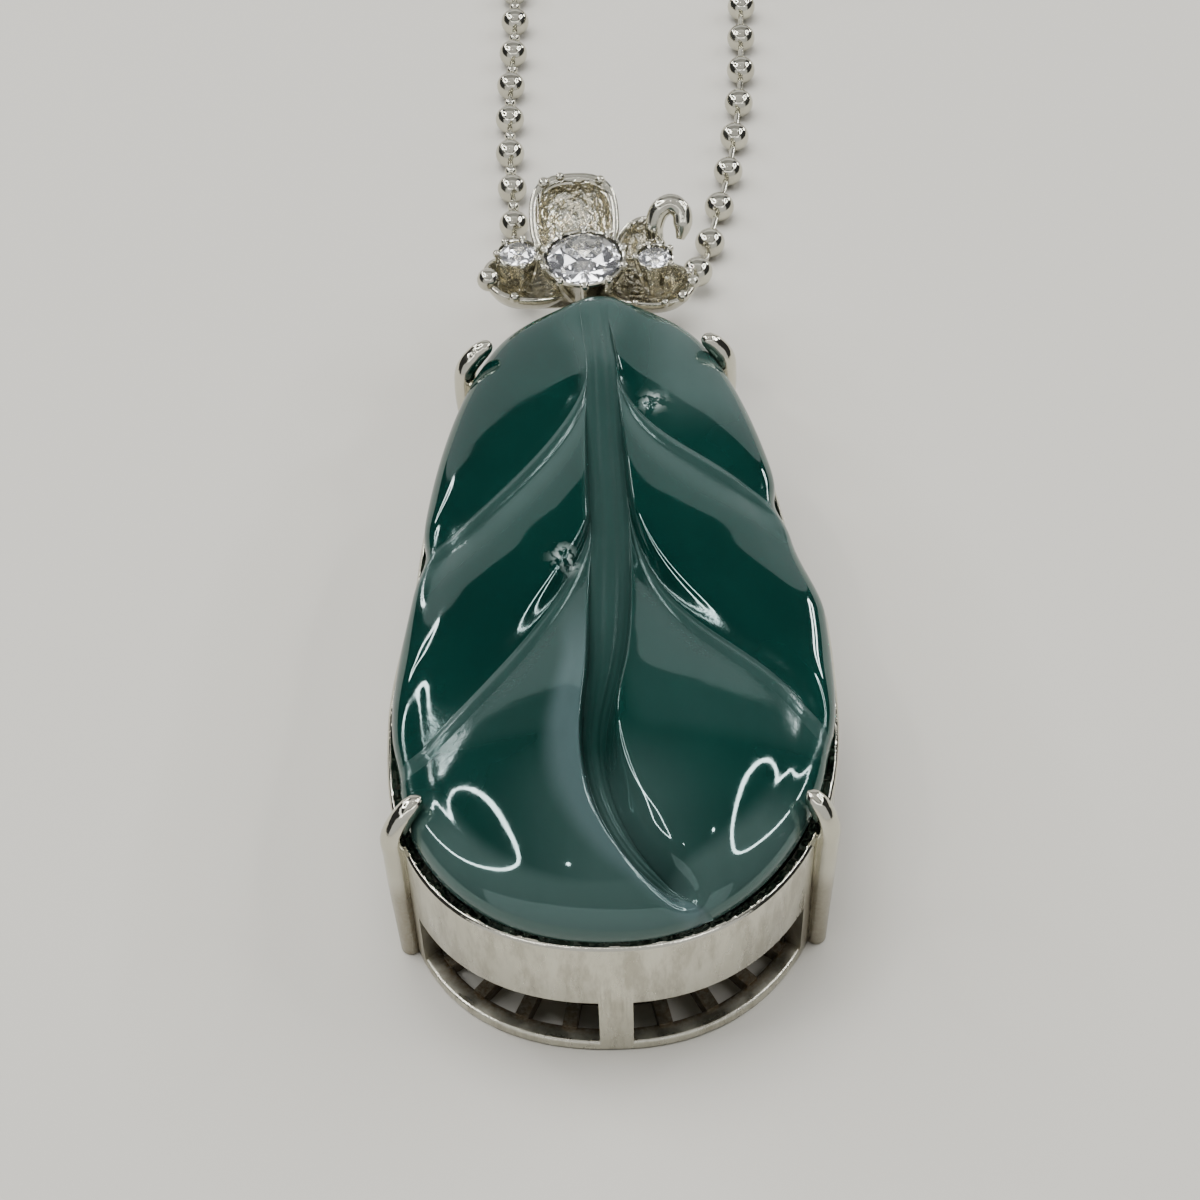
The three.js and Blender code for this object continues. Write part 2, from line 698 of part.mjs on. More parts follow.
// The seat of a round stone: a stem, a cup and grains of metal over the stone's edge.
function stoneSeat({ x, y, z, radius, stem, grains }) {
  const cup = turned(
    [
      [0, -stem],
      [radius * 0.45, -stem],
      [radius * 0.6, -radius * 0.9],
      [radius * 1.12, 0.02],
      [radius * 1.12, 0.14],
      [radius + 0.05, 0.14],
      [radius + 0.05, -0.06],
      [radius * 0.3, -radius * 0.75],
      [0, -radius * 0.75],
    ],
    12,
  );
  cup.translate(x, y, z);
  const beads = [];
  const beadRadius = 0.14 + radius * 0.05;
  for (let k = 0; k < grains; k++) {
    const turn = (2 * Math.PI * (k + 0.5)) / grains;
    const away = radius + 0.05 + beadRadius * 0.8;
    const bead = new THREE.IcosahedronGeometry(beadRadius);
    bead.translate(x + away * Math.cos(turn), y + away * Math.sin(turn), z + 0.1);
    beads.push(bead);
  }
  return [cup, ...beads];
}

const SEATS = {
  center: { x: FLOWER.x, y: FLOWER.y, z: 7.2, radius: CENTER_STONE_RADIUS, stem: 1.9, grains: 6 },
  left: {
    x: FLOWER.x - 2.8,
    y: FLOWER.y + 0.3,
    z: 7.3,
    radius: SIDE_STONE_RADIUS.left,
    stem: 2.0,
    grains: 3,
  },
  right: {
    x: FLOWER.x + 3.0,
    y: FLOWER.y - 0.15,
    z: 7.3,
    radius: SIDE_STONE_RADIUS.right,
    stem: 2.0,
    grains: 3,
  },
};

function beam(from, to, width, height) {
  const length = from.distanceTo(to);
  const geometry = new THREE.BoxGeometry(length, width, height);
  const direction = to.clone().sub(from).normalize();
  const turn = new THREE.Quaternion().setFromUnitVectors(new THREE.Vector3(1, 0, 0), direction);
  const middle = from.clone().add(to).multiplyScalar(0.5);
  return geometry.applyQuaternion(turn).translate(middle.x, middle.y, middle.z);
}

function flowerBail() {
  const { x, y, z, length, outerRadius, boreRadius } = BAIL;
  const sleeve = turned(
    [
      [boreRadius, -length / 2],
      [outerRadius, -length / 2],
      [outerRadius, length / 2],
      [boreRadius, length / 2],
      [boreRadius, -length / 2],
    ],
    20,
  );
  sleeve.rotateY(Math.PI / 2).translate(x, y, z);
  const underFlower = FLOWER.z - 0.95;
  const stemStart = new THREE.Vector3(0, SHOULDER_Y + BAND.tipReach + 0.1, underFlower);
  const stemEnd = new THREE.Vector3(x, y, underFlower);
  const armLeft = new THREE.Vector3(-2.6, FLOWER.y, underFlower);
  const armRight = new THREE.Vector3(2.4, FLOWER.y, underFlower);
  const pieces = [
    sleeve,
    beam(stemStart, stemEnd, 1.8, 1.0),
    beam(new THREE.Vector3(x, y, z + outerRadius - 0.3), new THREE.Vector3(x, y, FLOWER.z), 1.4, 1.6),
    beam(armLeft, armRight, 1.0, 0.9),
    ...PETALS.flatMap(cupPetal),
    curledPetal(),
    ...Object.values(SEATS).flatMap(stoneSeat),
  ];
  return geometryOf(join(pieces));
}

// A round brilliant: table, crown, girdle and pavilion, its girdle a little above the collar's ledge.
function brilliant({ x, y, z, radius }) {
  const stone = turned(
    [
      [0, -radius * 0.62],
      [radius * 0.97, 0],
      [radius * 0.97, 0.06],
      [radius * 0.6, radius * 0.42],
      [0, radius * 0.42],
    ],
    16,
  );
  return stone.translate(x, y, z);
}

// Route points of the chain, in the stone's frame. Both runs lie on the table beyond the bail.
const LIE = CHAIN_DIAMETER / 2 + 0.02;
const bailLeft = BAIL.x - BAIL.length / 2;
const bailRight = BAIL.x + BAIL.length / 2;
const boreRest = BAIL.z - 0.22; // the chain lies on the bottom of the bore
const LEFT_ROUTE = [
  [bailLeft - CHAIN_GAP, BAIL.y, boreRest],
  [bailLeft - 0.9, BAIL.y + 0.15, boreRest - 0.15],
  [bailLeft - 1.7, BAIL.y + 0.9, boreRest - 0.75],
  [bailLeft - 2.15, BAIL.y + 2.1, 1.2],
  [-3.9, 25.6, 0.75],
  [-3.95, 27.6, LIE],
  [-4.0, 29.8, LIE],
  [-4.15, 32.2, LIE],
  [-4.2, 34.8, LIE],
  [-4.2, 37.6, LIE],
  [-4.1, 40.4, LIE],
  [-4.0, 43.2, LIE],
  [-4.05, 46.4, LIE],
  [-4.1, 50.0, LIE],
  [-4.1, 54.5, LIE],
];
const RIGHT_ROUTE = [
  [bailLeft, BAIL.y, boreRest],
  [BAIL.x, BAIL.y, boreRest],
  [bailRight + 0.5, BAIL.y, boreRest],
  [bailRight + 1.3, BAIL.y + 0.35, boreRest - 0.5],
  [4.2, 23.6, 1.4],
  [4.9, 25.3, 0.8],
  [5.3, 27.4, LIE],
  [5.9, 29.9, LIE],
  [6.4, 32.4, LIE],
  [6.8, 35.0, LIE],
  [7.15, 37.9, LIE],
  [7.35, 40.9, LIE],
  [7.5, 43.7, LIE],
  [7.75, 45.9, LIE],
  [8.6, 47.6, LIE],
  [9.6, 48.2, LIE],
  [COUPLING.x - COUPLING.length / 2 - CHAIN_GAP, COUPLING.y, LIE],
];
const TAIL_ROUTE = [
  [COIL.x + COIL.outerTurn + 1.0, COIL.y - 3.6, 1.35],
  [COIL.x + COIL.outerTurn + 2.3, COIL.y - 5.4, 0.75],
  [COIL.x + COIL.outerTurn + 3.5, COIL.y - 7.4, LIE],
  [COIL.x + COIL.outerTurn + 4.1, COIL.y - 9.4, LIE],
  [COIL.x + COIL.outerTurn + 3.5, COIL.y - 11.2, LIE],
  [COUPLING.x + COUPLING.length / 2 + CHAIN_GAP, COUPLING.y, LIE],
];

function chainRun(route, steps) {
  const curve = new THREE.CatmullRomCurve3(
    route.map((point) => new THREE.Vector3(...point)),
    false,
    "centripetal",
  );
  return tube(curve, CHAIN_DIAMETER / 2, 8, steps);
}

function chainCoil() {
  const low = COIL.innerTurn - LIE;
  const high = COIL.outerTurn + LIE;
  const top = CHAIN_DIAMETER * COIL.layers - 0.05;
  const cut = 0.35;
  const ring = turned(
    [
      [low + cut, 0],
      [high - cut, 0],
      [high, cut],
      [high, top - cut],
      [high - cut, top],
      [low + cut, top],
      [low, top - cut],
      [low, cut],
      [low + cut, 0],
    ],
    22,
  );
  return ring.translate(COIL.x, COIL.y, 0);
}

function coupling() {
  const { x, y, length, radius } = COUPLING;
  const end = length / 2;
  const sleeve = turned(
    [
      [0, -end],
      [radius * 0.75, -end],
      [radius, -end + 0.4],
      [radius, end - 0.4],
      [radius * 0.75, end],
      [0, end],
    ],
    12,
  );
  return sleeve.rotateY(Math.PI / 2).translate(x, y, radius);
}

const pendant = new THREE.Group();
const add = (name, geometry, finish) => {
  const mesh = new THREE.Mesh(geometry, finish);
  mesh.name = name;
  pendant.add(mesh);
};
add("jade_leaf", jadeLeaf(), jade);
add("setting", setting(), silver);
add("flower_bail", flowerBail(), silver);
add("center_stone", brilliant(SEATS.center), crystal);
add("left_stone", brilliant(SEATS.left), crystal);
add("right_stone", brilliant(SEATS.right), crystal);

// The origin is the middle of the pendant's underside, without the chain.
const box = new THREE.Box3().setFromObject(pendant);
pendant.position.set(-(box.min.x + box.max.x) / 2, -(box.min.y + box.max.y) / 2, -box.min.z);

add("chain_left_run", chainRun(LEFT_ROUTE, 15), silver);
add("chain_right_run", chainRun(RIGHT_ROUTE, 18), silver);
add("chain_coil", chainCoil(), silver);
add("chain_tail", chainRun(TAIL_ROUTE, 8), silver);
add("chain_coupling", coupling(), silver);

export default pendant;
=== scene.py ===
# %% [markdown]
# # A carved jadeite leaf in a cast silver setting
#
# The piece is a cabochon of green jadeite, carved as a leaf with a middle rib and two pairs of
# side veins. Four claws hold it in a silver gallery setting, and a small flower with three clear
# stones hides the bail, through which a ball chain runs. The frame holds plain solids of all of
# these. This lesson gives each one the shape and the finish that is seen from close by, in
# metres and in the same place as its solid.

# %% Load the frame
import math
from functools import partial

import bmesh
import bpy
import numpy as np
from mathutils import Matrix, Vector
from mathutils.kdtree import KDTree


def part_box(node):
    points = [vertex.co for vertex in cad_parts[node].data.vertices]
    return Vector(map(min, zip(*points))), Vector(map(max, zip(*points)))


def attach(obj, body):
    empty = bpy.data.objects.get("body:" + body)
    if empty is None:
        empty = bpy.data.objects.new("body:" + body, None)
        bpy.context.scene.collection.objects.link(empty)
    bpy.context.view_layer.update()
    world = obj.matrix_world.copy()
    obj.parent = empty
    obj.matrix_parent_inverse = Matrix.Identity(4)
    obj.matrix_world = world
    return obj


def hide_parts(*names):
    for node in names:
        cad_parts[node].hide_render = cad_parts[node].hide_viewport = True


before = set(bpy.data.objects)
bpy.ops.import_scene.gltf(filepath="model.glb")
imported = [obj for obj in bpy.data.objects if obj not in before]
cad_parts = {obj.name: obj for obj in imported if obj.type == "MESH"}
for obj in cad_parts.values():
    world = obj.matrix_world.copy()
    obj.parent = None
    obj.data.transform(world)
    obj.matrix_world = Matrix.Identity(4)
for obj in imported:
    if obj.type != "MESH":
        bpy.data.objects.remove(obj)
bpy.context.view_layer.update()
print("solids:", ", ".join(sorted(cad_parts)))

# %% [markdown]
# ## One frame for all pieces
#
# The sizes in this lesson are millimetres in the stone cutter's drawing, whose origin lies on the
# leaf's middle line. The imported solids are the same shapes, moved so that the middle of the
# pendant's underside is the origin. Two solids tell how far they were moved, so nothing is fitted
# by eye.

# %% Millimetres of the leaf to metres of the frame
MM = 0.001
SHOULDER_Y = -4.6
LEAF_TIP_REACH = 20.9
FLOWER = np.array([-0.62, 18.55, 6.2])

stone_low, stone_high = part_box("center_stone")
_, leaf_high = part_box("jade_leaf")
SHIFT = np.array([
    (stone_low.x + stone_high.x) / 2 / MM - FLOWER[0],
    leaf_high.y / MM - SHOULDER_Y - LEAF_TIP_REACH,
    0.0,
])


def in_frame(points):
    return (np.asarray(points, float) + SHIFT) * MM


print("the solids are moved by", SHIFT.round(3), "mm")

# %% [markdown]
# ## The camera
#
# The pendant is seen from in front and above, close enough for the heel to look larger than the
# flower. A long lens at 95 mm from the leaf keeps that slight convergence. The camera is built
# from its own axes: one points back from the leaf, one to the right and one up, and the last two
# are rolled a little, because the leaf leans to the left in its picture.

# %% Camera
CAMERA_ELEVATION = math.radians(50)
CAMERA_AZIMUTH = math.radians(0.6)
CAMERA_ROLL = math.radians(-2)
CAMERA_DISTANCE = 94.5
LOOK_AT = [-0.25, 0, 6.8]

back = Vector((
    math.sin(CAMERA_AZIMUTH) * math.cos(CAMERA_ELEVATION),
    -math.cos(CAMERA_AZIMUTH) * math.cos(CAMERA_ELEVATION),
    math.sin(CAMERA_ELEVATION),
))
level = Vector((math.cos(CAMERA_AZIMUTH), math.sin(CAMERA_AZIMUTH), 0))
upright = back.cross(level)
right = math.cos(CAMERA_ROLL) * level + math.sin(CAMERA_ROLL) * upright
up = math.cos(CAMERA_ROLL) * upright - math.sin(CAMERA_ROLL) * level

camera = bpy.data.objects.new("camera", bpy.data.cameras.new("camera"))
camera.data.sensor_width = 36
camera.data.lens = 75
camera.data.clip_start = 0.005
camera.data.clip_end = 5
camera.matrix_world = Matrix((right, up, back)).transposed().to_4x4()
camera.location = Vector(in_frame(LOOK_AT)) + back * CAMERA_DISTANCE * MM
bpy.context.scene.collection.objects.link(camera)
bpy.context.scene.camera = camera
print("camera at", [round(v, 4) for v in camera.location])

# %% [markdown]
# ## Small tools for meshes
#
# Most pieces are computed as arrays of points, so one helper makes a mesh of points and faces,
# merges the points that coincide, and lets Blender check which way the faces look. Another one
# repeats the pattern that every swept form needs: quads between one ring of points and the next.
# Three plain curves are used all over: a smooth step, a bell and a blend of two numbers.

# %% Mesh helpers
MERGE_DISTANCE = 1e-7


def mesh_of(name, points, faces, sharp_angle=None):
    mesh = bpy.data.meshes.new(name)
    mesh.from_pydata(in_frame(points).tolist(), [], [list(map(int, face)) for face in faces])
    tidy = bmesh.new()
    tidy.from_mesh(mesh)
    bmesh.ops.remove_doubles(tidy, verts=tidy.verts, dist=MERGE_DISTANCE)
    bmesh.ops.recalc_face_normals(tidy, faces=tidy.faces)
    tidy.to_mesh(mesh)
    tidy.free()
    mesh.shade_smooth()
    if sharp_angle is not None:
        mesh.set_sharp_from_angle(angle=math.radians(sharp_angle))
    return mesh


def piece_of(name, mesh):
    piece = bpy.data.objects.new(name, mesh)
    bpy.context.scene.collection.objects.link(piece)
    return piece


def ring_faces(rings, size, wrap_rings=False, wrap_size=True):
    """Quads between rings of equally many points, which follow each other in the point list."""
    faces = []
    for ring in range(rings if wrap_rings else rings - 1):
        following = (ring + 1) % rings
        for k in range(size if wrap_size else size - 1):
            beside = (k + 1) % size
            faces.append((
                ring * size + k, ring * size + beside,
                following * size + beside, following * size + k,
            ))
    return faces


def smooth(value, low, high):
    share = np.clip((value - low) / (high - low), 0, 1)
    return share * share * (3 - 2 * share)


def bell(value, middle, span):
    return np.exp(-(((value - middle) / span) ** 2))


def lerp(low, high, share):
    return low + (high - low) * share


print("two rings of 8 points have", len(ring_faces(2, 8)), "faces between them")

# %% [markdown]
# ## The ball chain's route
#
# The chain comes first, because a free cord has to lie where its solids lie. It leaves the bail
# on the left, falls to the table and runs away from the viewer. Its unseen length is put away in
# a flat coil of two layers, a bead apart, and its two ends meet in a coupling beside the coil.
# A spline through listed points is the usual way to lay a cord. The coil between them is
# counted out in turns, each a circle that steps in or out by one bead near its end.

# %% Route points
BAIL = np.array([0.2, 21.9, 2.95])
BAIL_LENGTH = 3.6
CHAIN_DIAMETER = 1.4
LIE = CHAIN_DIAMETER / 2 + 0.02
COIL = np.array([4.9, 60.0])
COIL_INNER, COIL_OUTER, COIL_STEP = 5.0, 9.2, 1.4
LAYER_RISE = 1.28
TURN_POINTS = 16
COUPLING = np.array([13.1, 48.3])
COUPLING_LENGTH, COUPLING_RADIUS = 5.4, 0.85
bail_left = BAIL[0] - BAIL_LENGTH / 2
bail_right = BAIL[0] + BAIL_LENGTH / 2
bore_rest = BAIL[2] - 0.22

LEFT_ROUTE = [
    (bail_left - 0.3, 21.9, bore_rest), (bail_left - 0.9, 22.05, bore_rest - 0.15),
    (bail_left - 1.7, 22.8, bore_rest - 0.75), (bail_left - 2.15, 24.0, 1.2),
    (-3.9, 25.6, 0.75), (-3.95, 27.6, LIE), (-4.0, 29.8, LIE), (-4.15, 32.2, LIE),
    (-4.2, 34.8, LIE), (-4.2, 37.6, LIE), (-4.1, 40.4, LIE), (-4.0, 43.2, LIE),
    (-4.05, 46.4, LIE), (-4.1, 50.0, LIE), (-4.1, 54.5, LIE),
]
TAIL_ROUTE = [
    (15.1, 56.4, 1.35), (16.4, 54.6, 0.75), (17.6, 52.6, LIE), (18.2, 50.6, LIE),
    (17.6, 48.8, LIE), (16.1, 48.3, LIE),
]
RIGHT_ROUTE = [
    (10.1, 48.3, LIE), (9.6, 48.2, LIE), (8.6, 47.6, LIE), (7.75, 45.9, LIE),
    (7.5, 43.7, LIE), (7.35, 40.9, LIE), (7.15, 37.9, LIE), (6.8, 35.0, LIE),
    (6.4, 32.4, LIE), (5.9, 29.9, LIE), (5.3, 27.4, LIE), (4.9, 25.3, 0.8),
    (4.2, 23.6, 1.4), (bail_right + 1.3, 22.25, bore_rest - 0.5),
    (bail_right + 0.5, 21.9, bore_rest), (BAIL[0], 21.9, bore_rest),
    (bail_left, 21.9, bore_rest),
]


def coil_turns():
    """Four turns inwards on the table, then three and a half outwards on top of them."""
    points = []
    for layer, turns, first, step in ((0, 4.0, COIL_OUTER, -COIL_STEP), (1, 3.5, COIL_INNER, COIL_STEP)):
        for k in range(layer, int(turns * TURN_POINTS) + 1):
            turn = k / TURN_POINTS
            whole = min(int(turn), 3)
            stepped = whole + (smooth(turn - whole, 0.75, 1.0) if whole < 3 else 0)
            radius = first + step * stepped
            # The lower layer climbs at its end, and the upper one sinks a little at its own.
            climb = 1 - smooth(turn, 3.2, 3.6) * 0.1 if layer else smooth(turn, 3.6, 4.0)
            angle = math.pi - turn * 2 * math.pi
            points.append((
                COIL[0] + radius * math.cos(angle),
                COIL[1] + radius * math.sin(angle),
                LIE + climb * LAYER_RISE,
            ))
    return points


print(len(coil_turns()), "points in the coil")

# %% One smooth line through the points
SPLINE_PARTS = 24


def spline(points, step):
    """A centripetal spline through the points, as points a step apart."""
    p = np.asarray(points, float)
    p = np.vstack([2 * p[0] - p[1], p, 2 * p[-1] - p[-2]])
    gaps = np.sqrt(np.linalg.norm(np.diff(p, axis=0), axis=1))[:, None]
    dense = []
    share = np.linspace(0, 1, SPLINE_PARTS, endpoint=False)[:, None]
    for k in range(1, len(p) - 2):
        before, here, after = gaps[k - 1], gaps[k], gaps[k + 1]
        leave = (p[k] - p[k - 1]) / before - (p[k + 1] - p[k - 1]) / (before + here)
        leave = (leave + (p[k + 1] - p[k]) / here) * here
        arrive = (p[k + 1] - p[k]) / here - (p[k + 2] - p[k]) / (here + after)
        arrive = (arrive + (p[k + 2] - p[k + 1]) / after) * here
        s2, s3 = share ** 2, share ** 3
        dense.append(
            (2 * s3 - 3 * s2 + 1) * p[k] + (s3 - 2 * s2 + share) * leave
            + (3 * s2 - 2 * s3) * p[k + 1] + (s3 - s2) * arrive
        )
    dense = np.vstack([*dense, p[-2]])
    along = np.concatenate([[0], np.cumsum(np.linalg.norm(np.diff(dense, axis=0), axis=1))])
    count = max(2, round(along[-1] / step) + 1)
    stops = np.linspace(0, along[-1], count)
    return np.column_stack([np.interp(stops, along, dense[:, axis]) for axis in range(3)])


def length_of(line):
    return float(np.linalg.norm(np.diff(line, axis=0), axis=1).sum())


chain_line = spline(LEFT_ROUTE + coil_turns() + TAIL_ROUTE + RIGHT_ROUTE, 0.5)
chain_length = length_of(chain_line)
print("the chain's line is", round(chain_length, 1), "mm long")

# %% [markdown]
# ## Beads and links by Geometry Nodes
#
# A ball chain is hollow beads, each gripping the ends of short dumbbell rods. Modelling each bead
# by hand would be slow, so a node tree walks along the line: it puts a bead at every pitch, a
# small knuckle half way between two beads and a thin rod through all of them. Beads that the
# camera looks at get more faces than the ones in the coil, which is a choice between two
# spheres, made by the bead's own position.

# %% Node trees: their nodes, their start and their end
def add_node(tree, kind, settings=None, inputs=None):
    """A node from its type, its settings and its inputs, which are values or links."""
    node = tree.nodes.new(kind)
    for name, value in (settings or {}).items():
        setattr(node, name, value)
    for name, value in (inputs or {}).items():
        if isinstance(value, bpy.types.NodeSocket):
            tree.links.new(value, node.inputs[name])
        else:
            node.inputs[name].default_value = value
    return node


def begin_tree(name, inputs):
    """An empty geometry tree, the function that adds nodes to it, and its named inputs."""
    tree = bpy.data.node_groups.new(name, "GeometryNodeTree")
    for label, kind in inputs.items():
        tree.interface.new_socket(label, in_out="INPUT", socket_type="NodeSocket" + kind)
    tree.interface.new_socket("Result", in_out="OUTPUT", socket_type="NodeSocketGeometry")
    add = partial(add_node, tree)
    return tree, add, add("NodeGroupInput").outputs


def end_tree(add, instances, material, rounded_look=False):
    """Makes the instances real, because the export drops instances, and gives them a material."""
    real = add("GeometryNodeRealizeInstances", None, {0: instances}).outputs[0]
    if rounded_look:
        real = add("GeometryNodeSetShadeSmooth", None, {0: real}).outputs[0]
    finished = add("GeometryNodeSetMaterial", None, {"Geometry": real, "Material": material})
    add("NodeGroupOutput", None, {0: finished.outputs[0]})


print("for trees:", add_node.__name__, begin_tree.__name__, end_tree.__name__)

# %% The chain's node tree
BEAD_PITCH = 2.55
OVERHANG = 0.3
ROD_RADIUS = 0.14
KNUCKLE_SHARE = 0.42
COARSE_BALL, FINE_BALL = (10, 6), (28, 18)  # segments and rings
bead_count = round((chain_length + OVERHANG) / BEAD_PITCH)
bead_pitch = (chain_length + OVERHANG) / bead_count


def ball_chain_tree():
    tree, add, given = begin_tree("ball chain", {
        "Line": "Geometry", "Pitch": "Float", "Bead Radius": "Float", "Rod Radius": "Float",
        "Seen Up To": "Float", "Finish": "Material",
    })

    def scaled(value, factor):
        return add("ShaderNodeMath", {"operation": "MULTIPLY"}, {0: value, 1: factor}).outputs[0]

    def balls(line, radius, size, selection=True):
        points = add("GeometryNodeCurveToPoints", {"mode": "LENGTH"}, {
            "Curve": line, "Length": given["Pitch"],
        }).outputs
        ball = add("GeometryNodeMeshUVSphere", None, {
            "Segments": size[0], "Rings": size[1], "Radius": radius,
        }).outputs["Mesh"]
        return add("GeometryNodeInstanceOnPoints", None, {
            "Points": points["Points"], "Selection": selection, "Instance": ball,
            "Rotation": points["Rotation"],
        }).outputs["Instances"]

    place = add("GeometryNodeInputPosition").outputs[0]
    along_y = add("ShaderNodeSeparateXYZ", None, {0: place}).outputs["Y"]
    near = add("FunctionNodeCompare", {"operation": "LESS_THAN"}, {
        0: along_y, 1: given["Seen Up To"],
    }).outputs[0]
    far = add("FunctionNodeBooleanMath", {"operation": "NOT"}, {0: near}).outputs[0]
    # Inputs 4 and 5 are the lengths where the trimmed line starts and ends: 100 m is past its end.
    half_way = add("GeometryNodeTrimCurve", {"mode": "LENGTH"}, {
        "Curve": given["Line"], 4: scaled(given["Pitch"], 0.5), 5: 100.0,
    }).outputs[0]
    circle = add("GeometryNodeCurvePrimitiveCircle", None, {
        "Resolution": 6, "Radius": given["Rod Radius"],
    }).outputs[0]
    rod = add("GeometryNodeCurveToMesh", None, {
        "Curve": given["Line"], "Profile Curve": circle, "Fill Caps": True,
    }).outputs[0]
    joined = add("GeometryNodeJoinGeometry")
    for part in (
        rod,
        balls(half_way, scaled(given["Bead Radius"], KNUCKLE_SHARE), COARSE_BALL),
        balls(given["Line"], given["Bead Radius"], COARSE_BALL, far),
        balls(given["Line"], given["Bead Radius"], FINE_BALL, near),
    ):
        tree.links.new(part, joined.inputs[0])
    end_tree(add, joined.outputs[0], given["Finish"], rounded_look=True)
    return tree


chain_tree = ball_chain_tree()
print(bead_count, "beads,", round(bead_pitch, 3), "mm apart")

# %% [markdown]
# ## Finishes: expressions instead of wires
#
# Shader node trees are easy to draw but hard to read in a script. A small class wraps a socket,
# so that sums and products of patterns are written as plain Python, and each one adds its Math
# node. Colours go through Mix nodes. Anything that is the same all over a surface is a plain
# value on the shader, so only what varies is wired. Every other node comes from one method.

# %% Signals and finishes
class Signal:
    """A socket that can be added, subtracted and multiplied."""

    def __init__(self, finish, socket):
        self.finish = finish
        self.socket = socket

    def math(self, operation, first, second):
        return self.finish.node("ShaderNodeMath", {"operation": operation}, {0: first, 1: second})

    def __add__(self, other):
        return self.math("ADD", self, other)

    def __mul__(self, other):
        return self.math("MULTIPLY", self, other)

    def __sub__(self, other):
        return self.math("SUBTRACT", self, other)

    def __rsub__(self, other):
        return self.math("SUBTRACT", other, self)

    __radd__ = __add__
    __rmul__ = __mul__

    def clamped(self):
        return self.finish.node("ShaderNodeClamp", None, {0: self})


class Finish:
    """A material with one Principled shader, and a method that adds nodes to it."""

    def __init__(self, name, **plain_values):
        self.material = bpy.data.materials.new(name)
        self.material.use_nodes = True
        self.tree = self.material.node_tree
        self.shader = self.tree.nodes["Principled BSDF"]
        for socket, value in plain_values.items():
            self.shader.inputs[socket.replace("_", " ")].default_value = value

    def node(self, kind, settings=None, inputs=None, output=0):
        """Any node: its type, its settings, and the values or signals of its inputs."""
        plain = {
            name: value.socket if isinstance(value, Signal) else value
            for name, value in (inputs or {}).items()
        }
        return Signal(self, add_node(self.tree, kind, settings, plain).outputs[output])

    def object_place(self):
        return self.node("ShaderNodeTexCoord", output="Object")

    def noise(self, place, size_mm, detail=3.0, roughness=0.5, stretch=None):
        if stretch:
            place = self.node("ShaderNodeMapping", None, {"Vector": place, "Scale": stretch})
        return self.node("ShaderNodeTexNoise", None, {
            "Vector": place, "Scale": 1000 / size_mm, "Detail": detail, "Roughness": roughness,
        })

    def between(self, value, low, high, start=0.0, end=1.0):
        """The value, taken from low..high to start..end in a smooth step."""
        return self.node("ShaderNodeMapRange", {"interpolation_type": "SMOOTHSTEP"}, {
            0: value, 1: low, 2: high, 3: start, 4: end,
        })

    def attribute(self, name):
        return self.node("ShaderNodeAttribute", {"attribute_name": name}, output="Fac")

    def mixed(self, factor, first, second):
        return self.node("ShaderNodeMix", {"data_type": "RGBA"}, {0: factor, 6: first, 7: second}, 2)

    def bump(self, height, depth_mm):
        return self.node("ShaderNodeBump", None, {
            "Strength": 1.0, "Distance": depth_mm * MM, "Height": height,
        })

    def wire(self, **signals):
        for socket, signal in signals.items():
            self.tree.links.new(signal.socket, self.shader.inputs[socket.replace("_", " ")])
        return self


print("for finishes:", Signal.__name__, Finish.__name__)

# %% [markdown]
# ## The finish of the jade
#
# Good jadeite is a deep green glass with a grain: clouds of a greyer green float in it, and light
# sinks in a little before it comes back. Noise alone could mix two greens, but the pale places of
# this stone follow its carving. So the mesh carries four patterns that the shader reads: a milky
# streak beside the middle rib, a painted reflection of the pale wall on parts of the lobes, the
# grooves, which the burr leaves slightly matt, and two small rough spots with painted white glints
# on their chips. All else is polished nearly to a mirror, and a touch of subsurface gives the depth.

# %% Jade
def jade_finish():
    jade = Finish(
        "jade", Subsurface_Weight=0.25, Subsurface_Radius=(0.6, 1.2, 1.0), Subsurface_Scale=0.0012,
        IOR=1.66, Specular_Tint=(0.72, 1, 0.97, 1),
    )
    place = jade.object_place()
    clouds = jade.between(jade.noise(place, 9.0, 4.0, 0.55), 0.38, 0.68)
    fibres = jade.noise(place, 2.2, 5.0, 0.6, (1.6, 0.5, 1.0))
    deep = (0.0002, 0.0165, 0.0125, 1)
    mossy = (0.0018, 0.0270, 0.0210, 1)
    pale_reflection = (0.032, 0.062, 0.056, 1)
    milky = (0.050, 0.082, 0.084, 1)
    glint_white = (0.42, 0.50, 0.47, 1)
    body = jade.mixed((clouds * 0.75 + fibres * 0.25).clamped(), deep, mossy)
    # The pale reflection of the wall, painted into the colour where the stored pattern says.
    painted_reflection = jade.attribute("painted_reflection") * (fibres * 0.4 + 0.8)
    body = jade.mixed(painted_reflection.clamped(), body, pale_reflection)
    cloud = jade.attribute("cloud") * (fibres * 0.5 + 0.6)
    body = jade.mixed(cloud.clamped(), body, milky)
    carving = jade.attribute("carving")
    spots = jade.attribute("rough_spots_and_glints")
    chatter = jade.noise(place, 0.28, 2.0, 0.6)
    chips = jade.noise(place, 0.4, 2.0, 0.5)
    ripple = jade.noise(place, 3.5, 1.0, 0.5)
    # White glints painted on the chips of the two rough spots.
    painted_glints = spots * jade.between(chips, 0.47, 0.58)
    body = jade.mixed(painted_glints.clamped(), body, glint_white)
    rough = carving * 0.16 + jade.between(chatter, 0.3, 0.7, 0.03, 0.06) + spots * 0.16
    height = ripple * 0.6 + carving * 0.25 * chatter + spots * 4.0 * chips
    return jade.wire(Base_Color=body, Roughness=rough, Normal=jade.bump(height, 0.05))


jade = jade_finish()
print("jade uses", len(jade.tree.nodes), "nodes")
